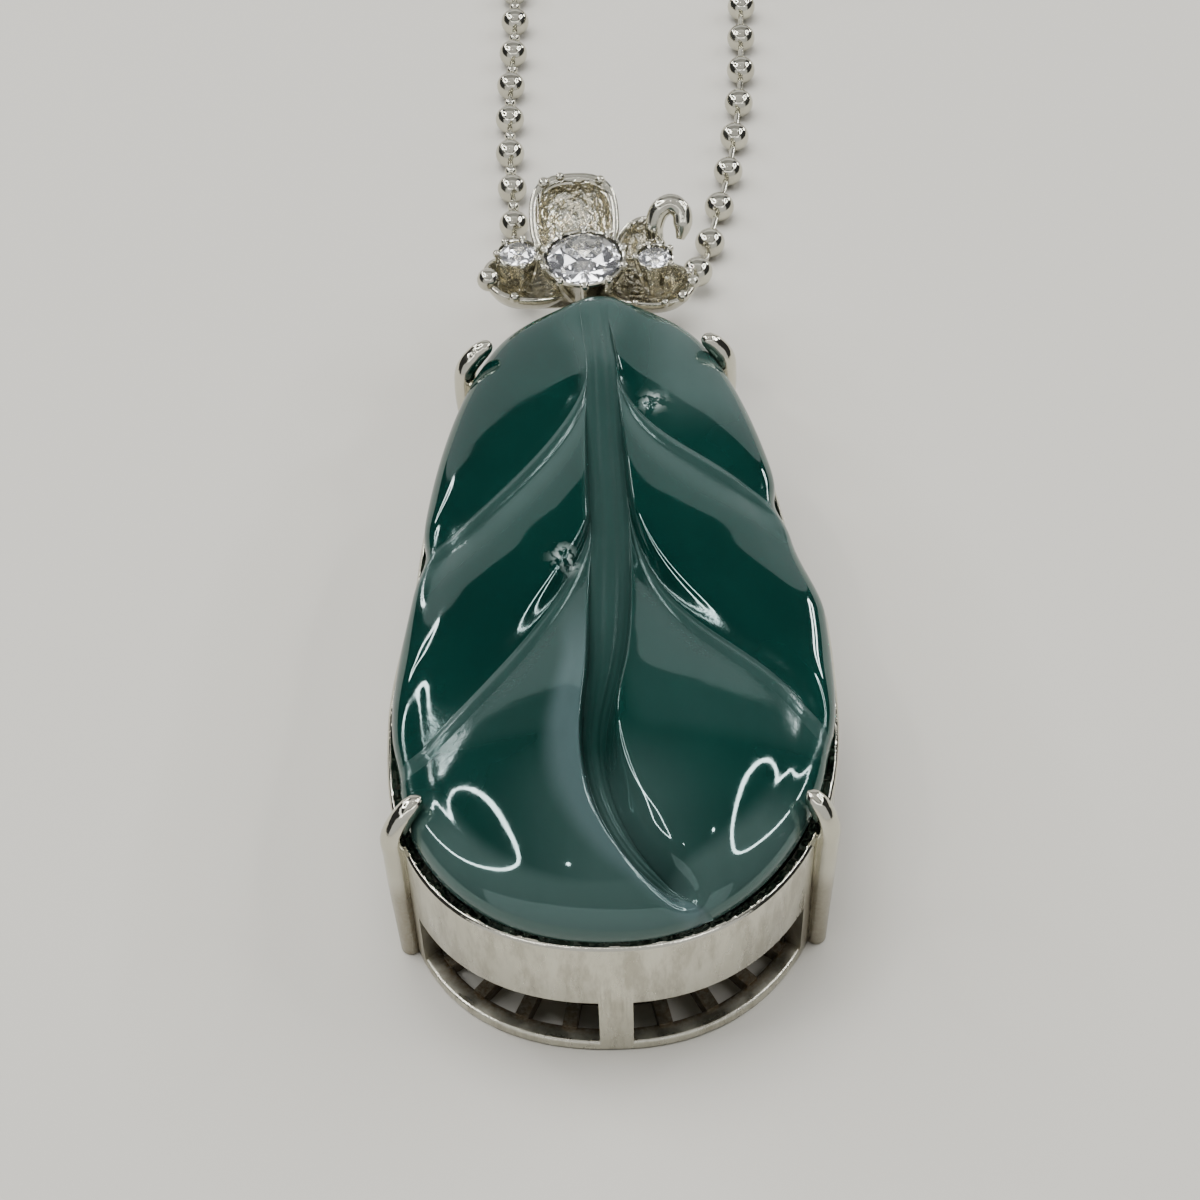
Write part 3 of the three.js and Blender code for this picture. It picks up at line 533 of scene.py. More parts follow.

# %% [markdown]
# ## The finish of the silver
#
# The setting is a rhodium-bright casting that has been tumbled, not sanded: its broad faces show
# a mottled satin, its edges are bright, and brown tarnish sits in corners that no cloth reaches.
# Metal gets nearly all of its look from what it mirrors, so the base colour is kept plain and
# warm, while roughness and a very fine bump break up the reflections. Attributes of each mesh say
# where it is tarnished, where shade is painted on it, where it is polished, and where it was left
# raw from the mould.

# %% Silver
def silver_finish(name, satin, dents):
    silver = Finish(name, Metallic=1.0)
    place = silver.object_place()
    mottle = silver.noise(place, 1.3, 4.0, 0.6, (1.0, 1.0, 0.35))
    streaks = silver.between(silver.noise(place, 0.7, 5.0, 0.7, (1.0, 1.0, 0.25)), 0.42, 0.66)
    grain = silver.noise(place, 0.16, 3.0, 0.65)
    blobs = silver.noise(place, 0.34, 2.0, 0.5)
    tarnish_and_shade, raw, polish = (silver.attribute(name) for name in ("tarnish_and_shade", "raw", "polish"))
    light, shaded = (0.67, 0.655, 0.565, 1), (0.48, 0.465, 0.385, 1)
    scuffed, mould_bright = (0.34, 0.32, 0.26, 1), (0.78, 0.73, 0.57, 1)
    soot_and_shade, brown = (0.02, 0.015, 0.010, 1), (0.20, 0.145, 0.080, 1)
    metal = silver.mixed(mottle, light, shaded)
    metal = silver.mixed(streaks * (satin * 2.6) * (1 - polish), metal, scuffed)
    metal = silver.mixed(raw * silver.between(blobs, 0.4, 0.6), metal, mould_bright)
    # Brown tarnish and painted shade share one mask and this dark stain colour.
    stain_and_shade = silver.mixed(grain, soot_and_shade, brown)
    colour = silver.mixed((tarnish_and_shade * (grain + 0.45)).clamped(), metal, stain_and_shade)
    satiny = silver.between(mottle, 0.3, 0.7, satin * 0.6, satin * 1.5)
    rough = satiny * (1 - polish * 0.7) + tarnish_and_shade * 0.3 + raw * 0.04
    height = mottle * dents + grain * 0.2 + raw * blobs * 12.0
    return silver.wire(Base_Color=colour, Roughness=rough, Normal=silver.bump(height, 0.02))


cast_silver = silver_finish("cast silver", 0.26, 1.5)
polished_silver = silver_finish("polished silver", 0.14, 1.2)
chain_silver = silver_finish("chain silver", 0.12, 0.4)
print("silver finishes:", *(f.material.name for f in (cast_silver, polished_silver, chain_silver)))

# %% [markdown]
# ## The clear stones' finish
#
# The three stones are clear and colourless with a high index of refraction, so they are glass
# with plain values on the shader: nothing about them varies over the surface.

# %% Clear stones
crystal = Finish(
    "crystal", Transmission_Weight=0.97, IOR=2.1, Roughness=0.0, Base_Color=(0.96, 0.97, 1.0, 1),
)
print("index of refraction:", round(crystal.shader.inputs["IOR"].default_value, 2))

# %% [markdown]
# ## Laying the chain
#
# The line becomes a poly curve, the node tree dresses it, and the evaluated result is copied into
# a plain mesh. After that the curve is thrown away, and its modifier with it. Every finished
# piece is then handed over in the same way: it gets its finish and the body that it rides on,
# and the solids that it stands for are hidden.

# %% From curves and modifiers to plain meshes
def evaluated_mesh(name, source):
    bpy.context.view_layer.update()
    evaluated = source.evaluated_get(bpy.context.evaluated_depsgraph_get())
    mesh = bpy.data.meshes.new_from_object(evaluated)
    mesh.name = name
    return mesh


def baked_nodes(name, source, tree, values):
    """The piece that a tree makes of a source, with the values of the tree's named inputs."""
    modifier = source.modifiers.new("dress", "NODES")
    modifier.node_group = tree
    for item in tree.interface.items_tree:
        if item.name in values:
            modifier[item.identifier] = values[item.name]
    mesh = evaluated_mesh(name, source)
    bpy.data.objects.remove(source)
    return piece_of(name, mesh)


def curve_of(name, points, closed=False):
    data = bpy.data.curves.new(name, "CURVE")
    data.dimensions = "3D"
    line = data.splines.new("POLY")
    line.points.add(len(points) - 1)
    for target, point in zip(line.points, points):
        target.co = (*point, 1)
    line.use_cyclic_u = closed
    return piece_of(name, data)


print("for curves:", curve_of.__name__, baked_nodes.__name__, evaluated_mesh.__name__)

# %% What a piece's points carry, and its handing over
def store(mesh, name, values):
    layer = mesh.attributes.new(name, "FLOAT", "POINT")
    layer.data.foreach_set("value", values.astype(np.float32))


def store_amount(piece, name, amount):
    """Stores a number, or what a function makes of the points in mm, with the piece's points."""
    points = np.empty(len(piece.data.vertices) * 3)
    piece.data.vertices.foreach_get("co", points)
    points = points.reshape(-1, 3) / MM - SHIFT
    values = amount(points) if callable(amount) else np.full(len(points), amount)
    store(piece.data, name, values)


def hand_over(piece, finish, slot, *nodes):
    """The finished piece rides on the pendant and stands for its solids."""
    piece.data.materials.clear()
    piece.data.materials.append(finish.material)
    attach(piece, "root")
    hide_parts(*nodes)
    print(piece.name, "has", sum(len(p.vertices) - 2 for p in piece.data.polygons), "triangles")


print(len(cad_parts), "solids wait for their pieces")

# %% Chain piece
# In metres of the frame: only beads that lie before this get the finer balls.
SEEN_UP_TO = 0.044
strung = spline(chain_line, 0.5)
strung = strung[: 1 + round((bead_count - 1) * bead_pitch / length_of(strung) * (len(strung) - 1))]
chain = baked_nodes("ball_chain", curve_of("chain_line", in_frame(strung)), chain_tree, {
    "Pitch": bead_pitch * MM,
    "Bead Radius": CHAIN_DIAMETER / 2 * MM,
    "Rod Radius": ROD_RADIUS * MM,
    "Seen Up To": SEEN_UP_TO,
    "Finish": chain_silver.material,
})
store_amount(chain, "tarnish_and_shade", 0.0)
CHAIN_NODES = ["chain_left_run", "chain_right_run", "chain_coil", "chain_tail"]
hand_over(chain, chain_silver, "silver", *CHAIN_NODES)

# %% [markdown]
# ## The coupling
#
# The two ends of a ball chain snap into a folded sheet sleeve with a slot along it. A turned
# profile swept round its axis is enough, with a shallow groove at both ends that shows where the
# last beads are gripped.

# %% Turned forms
def turned(profile, segments, axis="z"):
    """Points and faces of a profile of (radius, height), turned round z or laid along x."""
    angles = np.linspace(0, 2 * math.pi, segments, endpoint=False)
    radius, height = np.asarray(profile, float).T
    rings = [
        np.column_stack([radius * math.cos(a), radius * math.sin(a), height]) for a in angles
    ]
    points = np.vstack(rings)
    if axis == "x":
        points = points[:, [2, 1, 0]] * [1, 1, -1]
    faces = ring_faces(segments, len(profile), wrap_rings=True, wrap_size=False)
    return points, faces


print("a cone of 8 sides has", len(turned([(0, 0), (1, 0), (0, 1)], 8)[1]), "faces")

# %% The sleeve on the chain's ends
half = COUPLING_LENGTH / 2
sleeve_end = [(0, 0), (0.3, 0), (0.62, 0.05), (0.78, 0.35), (0.84, 0.7), (0.8, 1.0), (0.845, 1.3)]
sleeve_profile = [(radius, -half + from_end) for radius, from_end in sleeve_end]
sleeve_profile += [(radius, half - from_end) for radius, from_end in reversed(sleeve_end)]
points, faces = turned(sleeve_profile, 32, "x")
coupling = piece_of("chain_sleeve", mesh_of(
    "chain_sleeve", points + [*COUPLING, COUPLING_RADIUS], faces, 50,
))
store_amount(coupling, "tarnish_and_shade", 0.1)
hand_over(coupling, chain_silver, "silver", "chain_coupling")

# %% [markdown]
# ## The leaf's outline
#
# The carver draws the leaf first: widest below its middle, a different curve on each side, small
# notches where the veins reach the edge, and a pinched tip. Each side is a superellipse, whose
# half width at a height y is computed from a few named numbers. The setting uses the same kind of
# outline with its own numbers, a little larger.

# %% Outlines
# A side's step is how much narrower it gets towards the tip, and between which heights. A notch
# is its height, its depth and its span.
TIP_PINCH = (0.45, 1.46)
SIDE_FULLNESS = 2.2
STONE = {
    "reach": (LEAF_TIP_REACH, 10.66),
    "left": dict(width=7.9, tip=2.4, heel=2.75, step=(0.071, -5.7, 1.6),
                 notches=[(1.85, 0.26, 1.0), (-8.3, 0.18, 1.2)]),
    "right": dict(width=8.25, tip=2.05, heel=1.95, step=(0.087, -1.4, 2.4),
                  notches=[(4.1, 0.33, 1.0), (-7.9, 0.1, 1.0)]),
}
BAND = {
    "reach": (21.1, 10.87),
    "left": dict(width=8.08, tip=2.4, heel=3.2, step=(0.085, -5.7, 1.6), notches=[]),
    "right": dict(width=8.36, tip=2.05, heel=2.4, step=(0.1, -1.4, 2.4), notches=[]),
}


def reach_share(shape, y):
    tip, heel = shape["reach"]
    return np.minimum(1, np.abs(y - SHOULDER_Y) / np.where(y > SHOULDER_Y, tip, heel))


def fullness(side, y):
    middle = (side["tip"] + side["heel"]) / 2
    swing = (side["heel"] - side["tip"]) / 2
    return middle - swing * np.tanh((y - SHOULDER_Y) / 2)


def breadth(shape, side, y):
    share, low, high = side["step"]
    pinch = 1 - TIP_PINCH[0] * bell(y, SHOULDER_Y + shape["reach"][0], TIP_PINCH[1])
    notches = sum(depth * bell(y, at, span) for at, depth, span in side["notches"])
    return side["width"] * (1 - share * smooth(y, low, high)) * pinch - notches


def half_width(shape, side, y):
    left = np.maximum(0, 1 - reach_share(shape, y) ** fullness(side, y))
    return breadth(shape, side, y) * left ** (1 / SIDE_FULLNESS)


def outline_point(shape, degrees):
    """x and y of the outline, at an angle from 0 on the right over 90 at the tip."""
    angle = np.radians(np.asarray(degrees, float))
    rise = np.sin(angle)
    y = SHOULDER_Y + rise * np.where(rise > 0, shape["reach"][0], shape["reach"][1])
    left_x, right_x = -half_width(shape, shape["left"], y), half_width(shape, shape["right"], y)
    return np.where(np.cos(angle) < 0, left_x, right_x), y


round_about = np.linspace(0, 360, 721)
xs, ys = outline_point(STONE, round_about)
print("leaf", round(np.ptp(xs), 2), "by", round(np.ptp(ys), 2), "mm")

# %% [markdown]
# ## Carving the leaf
#
# The stone is a dome over that outline. Its veins are laid as curves from the middle rib to the
# edge, and the mesh follows them: each row of points runs along a vein or along a line between
# two veins, so a groove never cuts across faces and stays crisp. A height field on a square grid
# or a sculpted displacement would need far more faces for the same edge. The lobes swell between
# the veins by a product of three simple curves, and the relief is blurred a little, as polishing
# does, before it is added to the dome.

# %% Dome and rib
BACK_Z = 3.95
GIRDLE_Z = 7.08
DOME_HEIGHT = 2.74
HEEL_SWELL = 0.7
RIB_RISE, VEIN_RISE = 0.15, 0.08
TIP_ANGLE, END_ANGLE = 82, -72.3
END_Y = -14.65


def rib_middle(y):
    bend = 3.1 * (np.maximum(0, -9 - y) / 5.4) ** 2.5
    return 0.2 * bell(y, 2, 5) - 0.55 * bell(y, -8, 3) - 0.25 * smooth(y, 11, 15) + bend


def groove_depth(rib_y):
    """The grooves are cut deeper towards the heel."""
    return 0.3 + 0.33 * smooth(rib_y, 12, 6) + 0.6 * smooth(rib_y, 1, -9)


def rib_half_width(y):
    widening = 0.38 * smooth(y, -10, -1) - 0.15 * smooth(y, 2, 14)
    return (0.34 + widening) * (1 - 0.8 * smooth(-y, 12.5, -END_Y))


def dome_left(x, y):
    """1 on the top of the dome and 0 at the girdle."""
    sides = []
    for side in (STONE["left"], STONE["right"]):
        across = np.abs(x) / breadth(STONE, side, y)
        sides.append(1 - across ** SIDE_FULLNESS - reach_share(STONE, y) ** fullness(side, y))
    edge = np.where(
        x < 0, half_width(STONE, STONE["left"], y), half_width(STONE, STONE["right"], y),
    )
    return np.maximum(0, lerp(*sides, smooth(x / np.maximum(0.05, edge), -0.9, 0.9)))


print("half way down, the rib is", round(2 * float(rib_half_width(0)), 2), "mm wide")

# %% Veins
# Each vein has the height where it leaves the rib, the outline angle where it ends, and how its
# curve leaves and arrives. They come in pairs, the two banks of one raised vein.
LEFT_VEINS = [
    (16.09, 180 - TIP_ANGLE, (0, 0), (0, 0)),
    (10.6, 162.7, (-0.4, -3.1), (2.85, 2.0)),
    (9.5, 164.7, (-0.35, -3.0), (2.9, 1.8)),
    (2.6, 200.5, (-0.35, -3.2), (3.2, 2.6)),
    (1.5, 204.6, (-0.35, -3.1), (3.2, 2.4)),
    (END_Y, 360 + END_ANGLE, (0, 0), (0, 0)),
]
RIGHT_VEINS = [
    (16.09, TIP_ANGLE, (0, 0), (0, 0)),
    (12.0, 22.6, (0.2, -5.4), (-2.8, 3.0)),
    (11.1, 20.6, (0.2, -5.4), (-2.8, 2.7)),
    (4.2, -15.4, (0.5, -8.0), (-2.3, 4.8)),
    (3.1, -19.4, (0.5, -7.6), (-2.3, 4.6)),
    (END_Y, END_ANGLE, (0, 0), (0, 0)),
]
LOBE_ROWS, VEIN_ROWS, RIB_COLUMNS, LOBE_COLUMNS = 86, 16, 12, 110
print("veins leave the rib at", [vein[0] for vein in LEFT_VEINS], "and", [vein[0] for vein in RIGHT_VEINS])

# %% Lobes
# How far the banks of the three lobes of a side reach, in mm: down from the vein above, up from
# the vein below at the rib and at the edge, and out from the rib at the lobe's top and bottom.
BANKS = {
    -1: dict(above=(1, 5.6, 8.0), below=(1.1, 0.22, 1), edge=(0.9, 2.4, 1),
             rib=((0.9, 1.2), (0.4, 0.5), (0.45, 0.7))),
    1: dict(above=(1, 5.6, 8.0), below=(1.1, 0.8, 1), edge=(0.9, 1.0, 1),
            rib=((0.9, 1.2), (1.5, 1.5), (0.45, 1.9))),
}


def swelling(part, banks, down, out, from_above, to_below, from_rib):
    """A lobe rises slowly under one vein, and rounds off towards the next one and the rib."""
    lobe = part // 2
    fall_width = lerp(banks["below"][lobe], banks["edge"][lobe], out ** 1.5)
    rib_width = lerp(*banks["rib"][lobe], smooth(down, 0.48, 0.72))
    rise = 1 if part == 0 else 1 - np.maximum(0, 1 - from_above / banks["above"][lobe]) ** 2
    fall = 1 if part == 4 else 1 - np.exp(-((to_below / fall_width) ** 1.8))
    return rise * fall * (1 - np.exp(-((from_rib / rib_width) ** 2.2)))


def leaf_rows():
    """The part that each row lies in, even for a lobe and odd for a vein, and how far down it."""
    rows = []
    for part in range(5):
        count = VEIN_ROWS if part % 2 else LOBE_ROWS
        shares = [k / count for k in range(count)]
        rows += [(part, share * (1.5 - 0.5 * share)) for share in shares]
    return rows + [(4, 1.0)]


def row_line(upper, lower, down, side, out):
    """A curve from the rib to the edge between two veins, at the shares that the columns take."""
    rib_y, angle, leave, arrive = (
        lerp(np.array(above), np.array(below), down) for above, below in zip(upper, lower)
    )
    start = np.array([rib_middle(rib_y) + side * rib_half_width(rib_y), rib_y])
    end = np.array(outline_point(STONE, angle))
    t = out[:, None]
    return (
        (1 - t) ** 3 * start + 3 * (1 - t) ** 2 * t * (start + leave)
        + 3 * (1 - t) * t ** 2 * (end + arrive) + t ** 3 * end
    ), rib_y


print(len(leaf_rows()), "rows of points on each side of the leaf")

# %% The two sides of the leaf
FAR = 99.0


def leaf_side(veins, side):
    """Arrays of one side of the leaf, in rows from the tip and columns from the rib."""
    rows = leaf_rows()
    spaced = np.linspace(0, 1, LOBE_COLUMNS + 1)
    out = 0.45 * spaced + 0.55 * (1 - np.cos(math.pi * spaced)) / 2
    lines, rib_ys = zip(*(row_line(veins[part], veins[part + 1], down, side, out) for part, down in rows))
    xs, ys = np.moveaxis(np.array(lines), 2, 0)
    steps = np.hypot(np.diff(xs, axis=1), np.diff(ys, axis=1))
    from_rib = np.hstack([np.zeros((len(xs), 1)), np.cumsum(steps, axis=1)])
    depth = groove_depth(np.array(rib_ys))[:, None] * np.ones_like(xs)
    relief, swell = -depth, np.zeros_like(xs)
    below_upper, below_veins = np.full(xs.shape, FAR), np.full(xs.shape, FAR)
    parts, downs = np.array(rows).T
    for part in range(5):
        mine = np.flatnonzero(parts == part)
        down = downs[mine][:, None]
        if part % 2:
            below_upper[mine] = 0.9
            relief[mine] += VEIN_RISE * 4 * down * (1 - down) * (1 - np.exp(-from_rib[mine] / 0.4))
            continue
        first, after = mine[0], min(mine[-1] + 1, len(xs) - 1)
        from_above = np.hypot(xs[mine] - xs[first], ys[mine] - ys[first])
        to_below = np.hypot(xs[mine] - xs[after], ys[mine] - ys[after])
        swell[mine] = swelling(part, BANKS[side], down, out, from_above, to_below, from_rib[mine])
        relief[mine] *= 1 - swell[mine]
        if part == 2:
            below_upper[mine] = from_above
        if part == 4:
            below_veins[mine] = from_above
    return dict(x=xs, y=ys, relief=relief, swell=swell, from_rib=from_rib, depth=depth,
                below_veins=below_veins, below_upper=below_upper)


left, right_side = leaf_side(LEFT_VEINS, -1), leaf_side(RIGHT_VEINS, 1)
print("each side of the leaf is", left["x"].shape[0], "rows by", left["x"].shape[1], "columns")

# %% The relief of the whole top
SCORES, SCORE_WIDTH, SCORE_DEPTH = (0.28, 0.74), 0.06, 0.07
POLISHING_ROUNDS = 5
across = np.linspace(0, 1, 2 * RIB_COLUMNS + 1)[1:-1]


def over_rib(name):
    return lerp(left[name][:, :1], right_side[name][:, :1], across)


def whole_row(name, rib):
    """The left side from its edge to the rib, a value or an array for the rib, the right side."""
    return np.hstack([left[name][:, ::-1], rib + 0 * over_rib(name), right_side[name]])


top_x = whole_row("x", over_rib("x"))
top_y = whole_row("y", over_rib("y"))
swell = whole_row("swell", 0)
scores = sum(bell(across, place, SCORE_WIDTH) for place in SCORES)
rib_arch = RIB_RISE * (1 - (2 * across - 1) ** 2) - SCORE_DEPTH * scores
relief = whole_row("relief", rib_arch - over_rib("depth"))
groove = (1 - np.clip(swell, 0, 1)) ** 3
for _ in range(POLISHING_ROUNDS):
    inner = relief[1:-1, 1:-1]
    around = relief[:-2, 1:-1] + relief[2:, 1:-1] + relief[1:-1, :-2] + relief[1:-1, 2:]
    relief[1:-1, 1:-1] = inner + 0.5 * (around / 4 - inner)
print("the relief goes from", round(float(relief.min()), 2), "to", round(float(relief.max()), 2), "mm")

# %% The top of the stone
tip_angles = np.interp(
    np.arange(top_x.shape[1]),
    [LOBE_COLUMNS, LOBE_COLUMNS + 2 * RIB_COLUMNS], [180 - TIP_ANGLE, TIP_ANGLE],
)
top_x[0], top_y[0] = outline_point(STONE, tip_angles)
top_x[-1], top_y[-1] = outline_point(STONE, END_ANGLE)
left_over = dome_left(top_x, top_y)
left_over[:, 0] = left_over[:, -1] = 0
left_over[0] = left_over[-1] = 0
dome = DOME_HEIGHT - HEEL_SWELL * smooth(top_y, -10.5, -0.5)
# A shallow hollow lies right of the rib, near the heel.
hollow = 0.27 * bell(top_x, 1.25, 1.4) * bell(top_y, -10.8, 2.2)
top_z = GIRDLE_Z + dome * np.sqrt(left_over) + relief * smooth(left_over, 0, 0.3) - hollow
top_points = np.column_stack([top_x.ravel(), top_y.ravel(), top_z.ravel()])
print("the stone is", round(float(top_z.max()) - BACK_Z, 2), "mm thick")

# %% [markdown]
# ## Girdle, flank and back of the stone
#
# Under its rounded edge the stone steps in, slopes down inside the setting and ends in a flat
# back. These are rings of the outline, each a little smaller and lower than the one before.

# %% Stone mesh
# The inset and the height of each ring below the top.
FLANK = (
    (0.0, 6.96), (0.02, 6.9), (0.1, 6.86), (0.36, 6.82), (0.42, 6.4), (0.56, 4.2), (0.62, 4.05),
    (0.8, BACK_Z),
)


def jade_mesh():
    rows, columns = top_x.shape
    points = [top_points]
    faces = ring_faces(rows, columns, wrap_size=False)
    number = np.arange(rows * columns).reshape(rows, columns)
    edge = np.concatenate([number[:, 0], number[-2::-1, -1], number[0, -2:0:-1]])
    ring = top_points[edge]
    tip, heel = STONE["reach"]
    widths = np.where(ring[:, 0] < 0, STONE["left"]["width"], STONE["right"]["width"])
    reaches = np.where(ring[:, 1] > SHOULDER_Y, tip, heel)
    above = edge
    total = rows * columns
    for inset, z in FLANK:
        points.append(np.column_stack([
            ring[:, 0] * (1 - inset / widths),
            SHOULDER_Y + (ring[:, 1] - SHOULDER_Y) * (1 - inset / reaches),
            np.full(len(ring), z),
        ]))
        below = total + np.arange(len(edge))
        total += len(edge)
        faces += zip(above, np.roll(above, -1), np.roll(below, -1), below)
        above = below
    points.append(np.array([[0, SHOULDER_Y, BACK_Z]]))
    faces += [(a, b, total) for a, b in zip(above, np.roll(above, -1))]
    return mesh_of("carved_leaf", np.vstack(points), faces, 60)


stone_mesh = jade_mesh()
print("the stone has", len(stone_mesh.vertices), "points")

# %% [markdown]
# ## What the stone's points carry
#
# An image painted over the stone could tell the shader where the grooves and the pale places
# are, but it would need a flat map of the stone. Numbers stored with the points need none, and
# follow the carving from any side. They are computed on the grid of the top, and each point of
# the finished mesh, where coinciding points are merged, takes the numbers of the grid point that
# it came from. The flank and the back, which hardly show, take one plain number.

# %% Patterns on the stone
SAME_POINT = 0.2 * MM
FLANK_VALUE = 0.3
ROUGH_SPOTS_AND_GLINTS = ((2.05, 8.75, 0.36), (-1.5, 0.35, 0.38))


def near(x, y, reach):
    return np.exp(-((top_x - x) ** 2 + (top_y - y) ** 2) / reach ** 2)


beside_rib, below_veins, below_upper = (
    whole_row(name, rib) for name, rib in (("from_rib", 0), ("below_veins", FAR), ("below_upper", FAR))
)
left_of_rib = rib_middle(top_y) - rib_half_width(top_y) - top_x
streak_width = 0.75 + 0.35 * smooth(top_y, -4, -11)
streak = smooth(left_of_rib, -0.05, 0.2) * smooth(left_of_rib / streak_width, 1.7, 0.8)
# Painted reflection of the pale wall lies below the upper veins, on the right shoulder, beside the
# rib, on the lower lobes below the veins, over the rib's lower end and all round the heel.
painted_reflection = np.maximum.reduce([
    0.62 * smooth(below_upper, 2.6, 0.4),
    0.7 * smooth(top_y, 6.5, 10) * smooth(top_x, 1.2, 3.2),
    0.48 * smooth(beside_rib, 1.6, 0.3) * (0.3 + 0.7 * smooth(top_y, -9, -1)),
    0.24 * smooth(top_y, -8.7, -7.5) * smooth(below_veins, 8, 6),
    0.75 * bell(top_x, 0, 3.0) * smooth(top_y, -7, -11),
    smooth(left_over, 0.4, 0.25) * smooth(top_y, -9, -12),
])
patterns = {
    "carving": groove,
    "cloud": streak * smooth(top_y, -0.5, -5.5),
    "painted_reflection": painted_reflection,
    "rough_spots_and_glints": sum(near(*spot) for spot in ROUGH_SPOTS_AND_GLINTS),
}
print("patterns:", {name: round(float(values.mean()), 3) for name, values in patterns.items()})

# %% Leaf piece
grid = KDTree(top_z.size)
for k, point in enumerate(in_frame(top_points)):
    grid.insert(point, k)
grid.balance()
nearest = [grid.find(vertex.co)[1:] for vertex in stone_mesh.vertices]
for name, values in patterns.items():
    flat = values.ravel()
    store(stone_mesh, name, np.array([
        flat[k] if distance < SAME_POINT else FLANK_VALUE for k, distance in nearest
    ]))
leaf = piece_of("carved_leaf", stone_mesh)
hand_over(leaf, jade, "jade", "jade_leaf")

# %% [markdown]
# ## The setting's band
#
# A gallery setting is a thin wall that follows the stone, with a ledge inside on which the stone
# sits, and open work below it. The wall, the two rails of the back plate and the posts are one
# idea: a section of inset and height that is swept along the outline. The section has small
# rounds at its corners, because a cast edge that is truly sharp never catches the light.

# %% Sweeping along the outline
RIM_Z = 6.8
BAND_BOTTOM_Z = 3.25
BAND_TAPER = 0.05
PLATE_THICKNESS = 0.5
RAIL_INSETS = (0.65, 1.8, 2.35)
CHISEL_DEPTH = 0.045
STATIONS = 480


def band_line(degrees, inset, z):
    """Points along the setting's outline, inset towards the inside, at the height z."""
    inset = inset + BAND_TAPER * (RIM_Z - z) / RIM_Z
    shape = {
        "reach": (BAND["reach"][0] - inset, BAND["reach"][1] - inset),
        "left": {**BAND["left"], "width": BAND["left"]["width"] - inset},
        "right": {**BAND["right"], "width": BAND["right"]["width"] - inset},
    }
    x, y = outline_point(shape, degrees)
    return np.column_stack([x, y, np.full(len(x), float(z))])


def band_sweep(section, start=0.0, stop=360.0, stations=STATIONS):
    closed = stop - start == 360
    angles = np.linspace(start, stop, stations, endpoint=not closed)
    lines = [band_line(angles, inset, z) for inset, z in section]
    points = np.stack(lines, axis=1).reshape(-1, 3)
    size = len(section)
    faces = ring_faces(stations, size, wrap_rings=closed)
    if not closed:
        faces += [tuple(range(size)), tuple(range((stations - 1) * size, stations * size))[::-1]]
    return points, faces


def rounded(corners, radius, steps=3):
    """A closed section whose corners are cut back by a radius and rounded."""
    corners = np.asarray(corners, float)
    section = []
    for k, corner in enumerate(corners):
        before, after = corners[k - 1] - corner, corners[(k + 1) % len(corners)] - corner
        cut = min(radius, 0.45 * np.linalg.norm(before), 0.45 * np.linalg.norm(after))
        start = corner + before / np.linalg.norm(before) * cut
        end = corner + after / np.linalg.norm(after) * cut
        for t in np.linspace(0, 1, steps + 1):
            section.append((1 - t) ** 2 * start + 2 * t * (1 - t) * corner + t * t * end)
    return section


def rounded_box(left, right, low, high, radius):
    return rounded([(left, low), (right, low), (right, high), (left, high)], radius)


wall = rounded([
    (0, BAND_BOTTOM_Z), (1.1, BAND_BOTTOM_Z), (1.1, BACK_Z), (0.5, BACK_Z), (0.46, RIM_Z - 0.16),
    (0.24, RIM_Z - 0.08), (0.12, RIM_Z), (0, RIM_Z - 0.12),
], 0.04)
outer_rail = rounded_box(0, RAIL_INSETS[0], 0, PLATE_THICKNESS, 0.12)
inner_rail = rounded_box(*RAIL_INSETS[1:], 0, PLATE_THICKNESS, 0.1)
wall_points, wall_faces = band_sweep(wall)
# The inner edge of the rim keeps the marks of the chisel that pressed it on the stone.
chisel = np.random.default_rng(5).normal(0, CHISEL_DEPTH, STATIONS)
for k, (inset, z) in enumerate(wall):
    if inset > 0.15 and z > RIM_Z - 0.3:
        wall_points[k::len(wall), 2] += chisel
swept = [(wall_points, wall_faces), band_sweep(outer_rail), band_sweep(inner_rail)]
print("the wall's section has", len(wall), "points")

# %% Posts between the back plate and the wall
POST_WIDTH, POST_DEPTH, POST_STATIONS = 1.2, 0.7, 9
POST_ANGLES = [270, 90, 12, 168, 217.4, 322.6]


def post(angle):
    """A short sweep, whose width in degrees is measured over six degrees of the outline."""
    first, last = band_line([angle - 3, angle + 3], 0, 0)
    half = POST_WIDTH / 2 * 6 / math.dist(first, last)
    section = rounded_box(0, POST_DEPTH, 0.2, BAND_BOTTOM_Z + 0.4, 0.05)
    return band_sweep(section, angle - half, angle + half, POST_STATIONS)


swept += [post(angle) for angle in POST_ANGLES]
print(len(POST_ANGLES), "posts")

# %% [markdown]
# ## Claws
#
# Each claw is a round wire that rises outside the wall and bends over the edge of the stone. A
# tube with a changing radius along a spline gives it its rounded, slightly worn head.

# %% Claws
# A claw is the outline's angle at its foot and at its head, how far it stands off the wall, how far
# its head reaches in, and the height of its head.
TUBE_STEP = 0.08
CLAW_RADIUS = 0.46
CLAWS = [
    (214.5, 213.5, 0.2, 1.0, 8.45), (325.5, 326.5, 0.24, 0.65, 8.45),
    (52, 56.5, 0.38, 0.48, 8.25), (130, 124, 0.5, 0.4, 8.25),
]
CLAW_SHARES = [0, 0.25, 0.55, 0.7, 0.8, 0.88, 0.94, 0.975, 0.993, 1]
CLAW_SCALES = [0.86, 0.9, 1, 1, 0.97, 0.92, 0.82, 0.64, 0.36, 0.02]


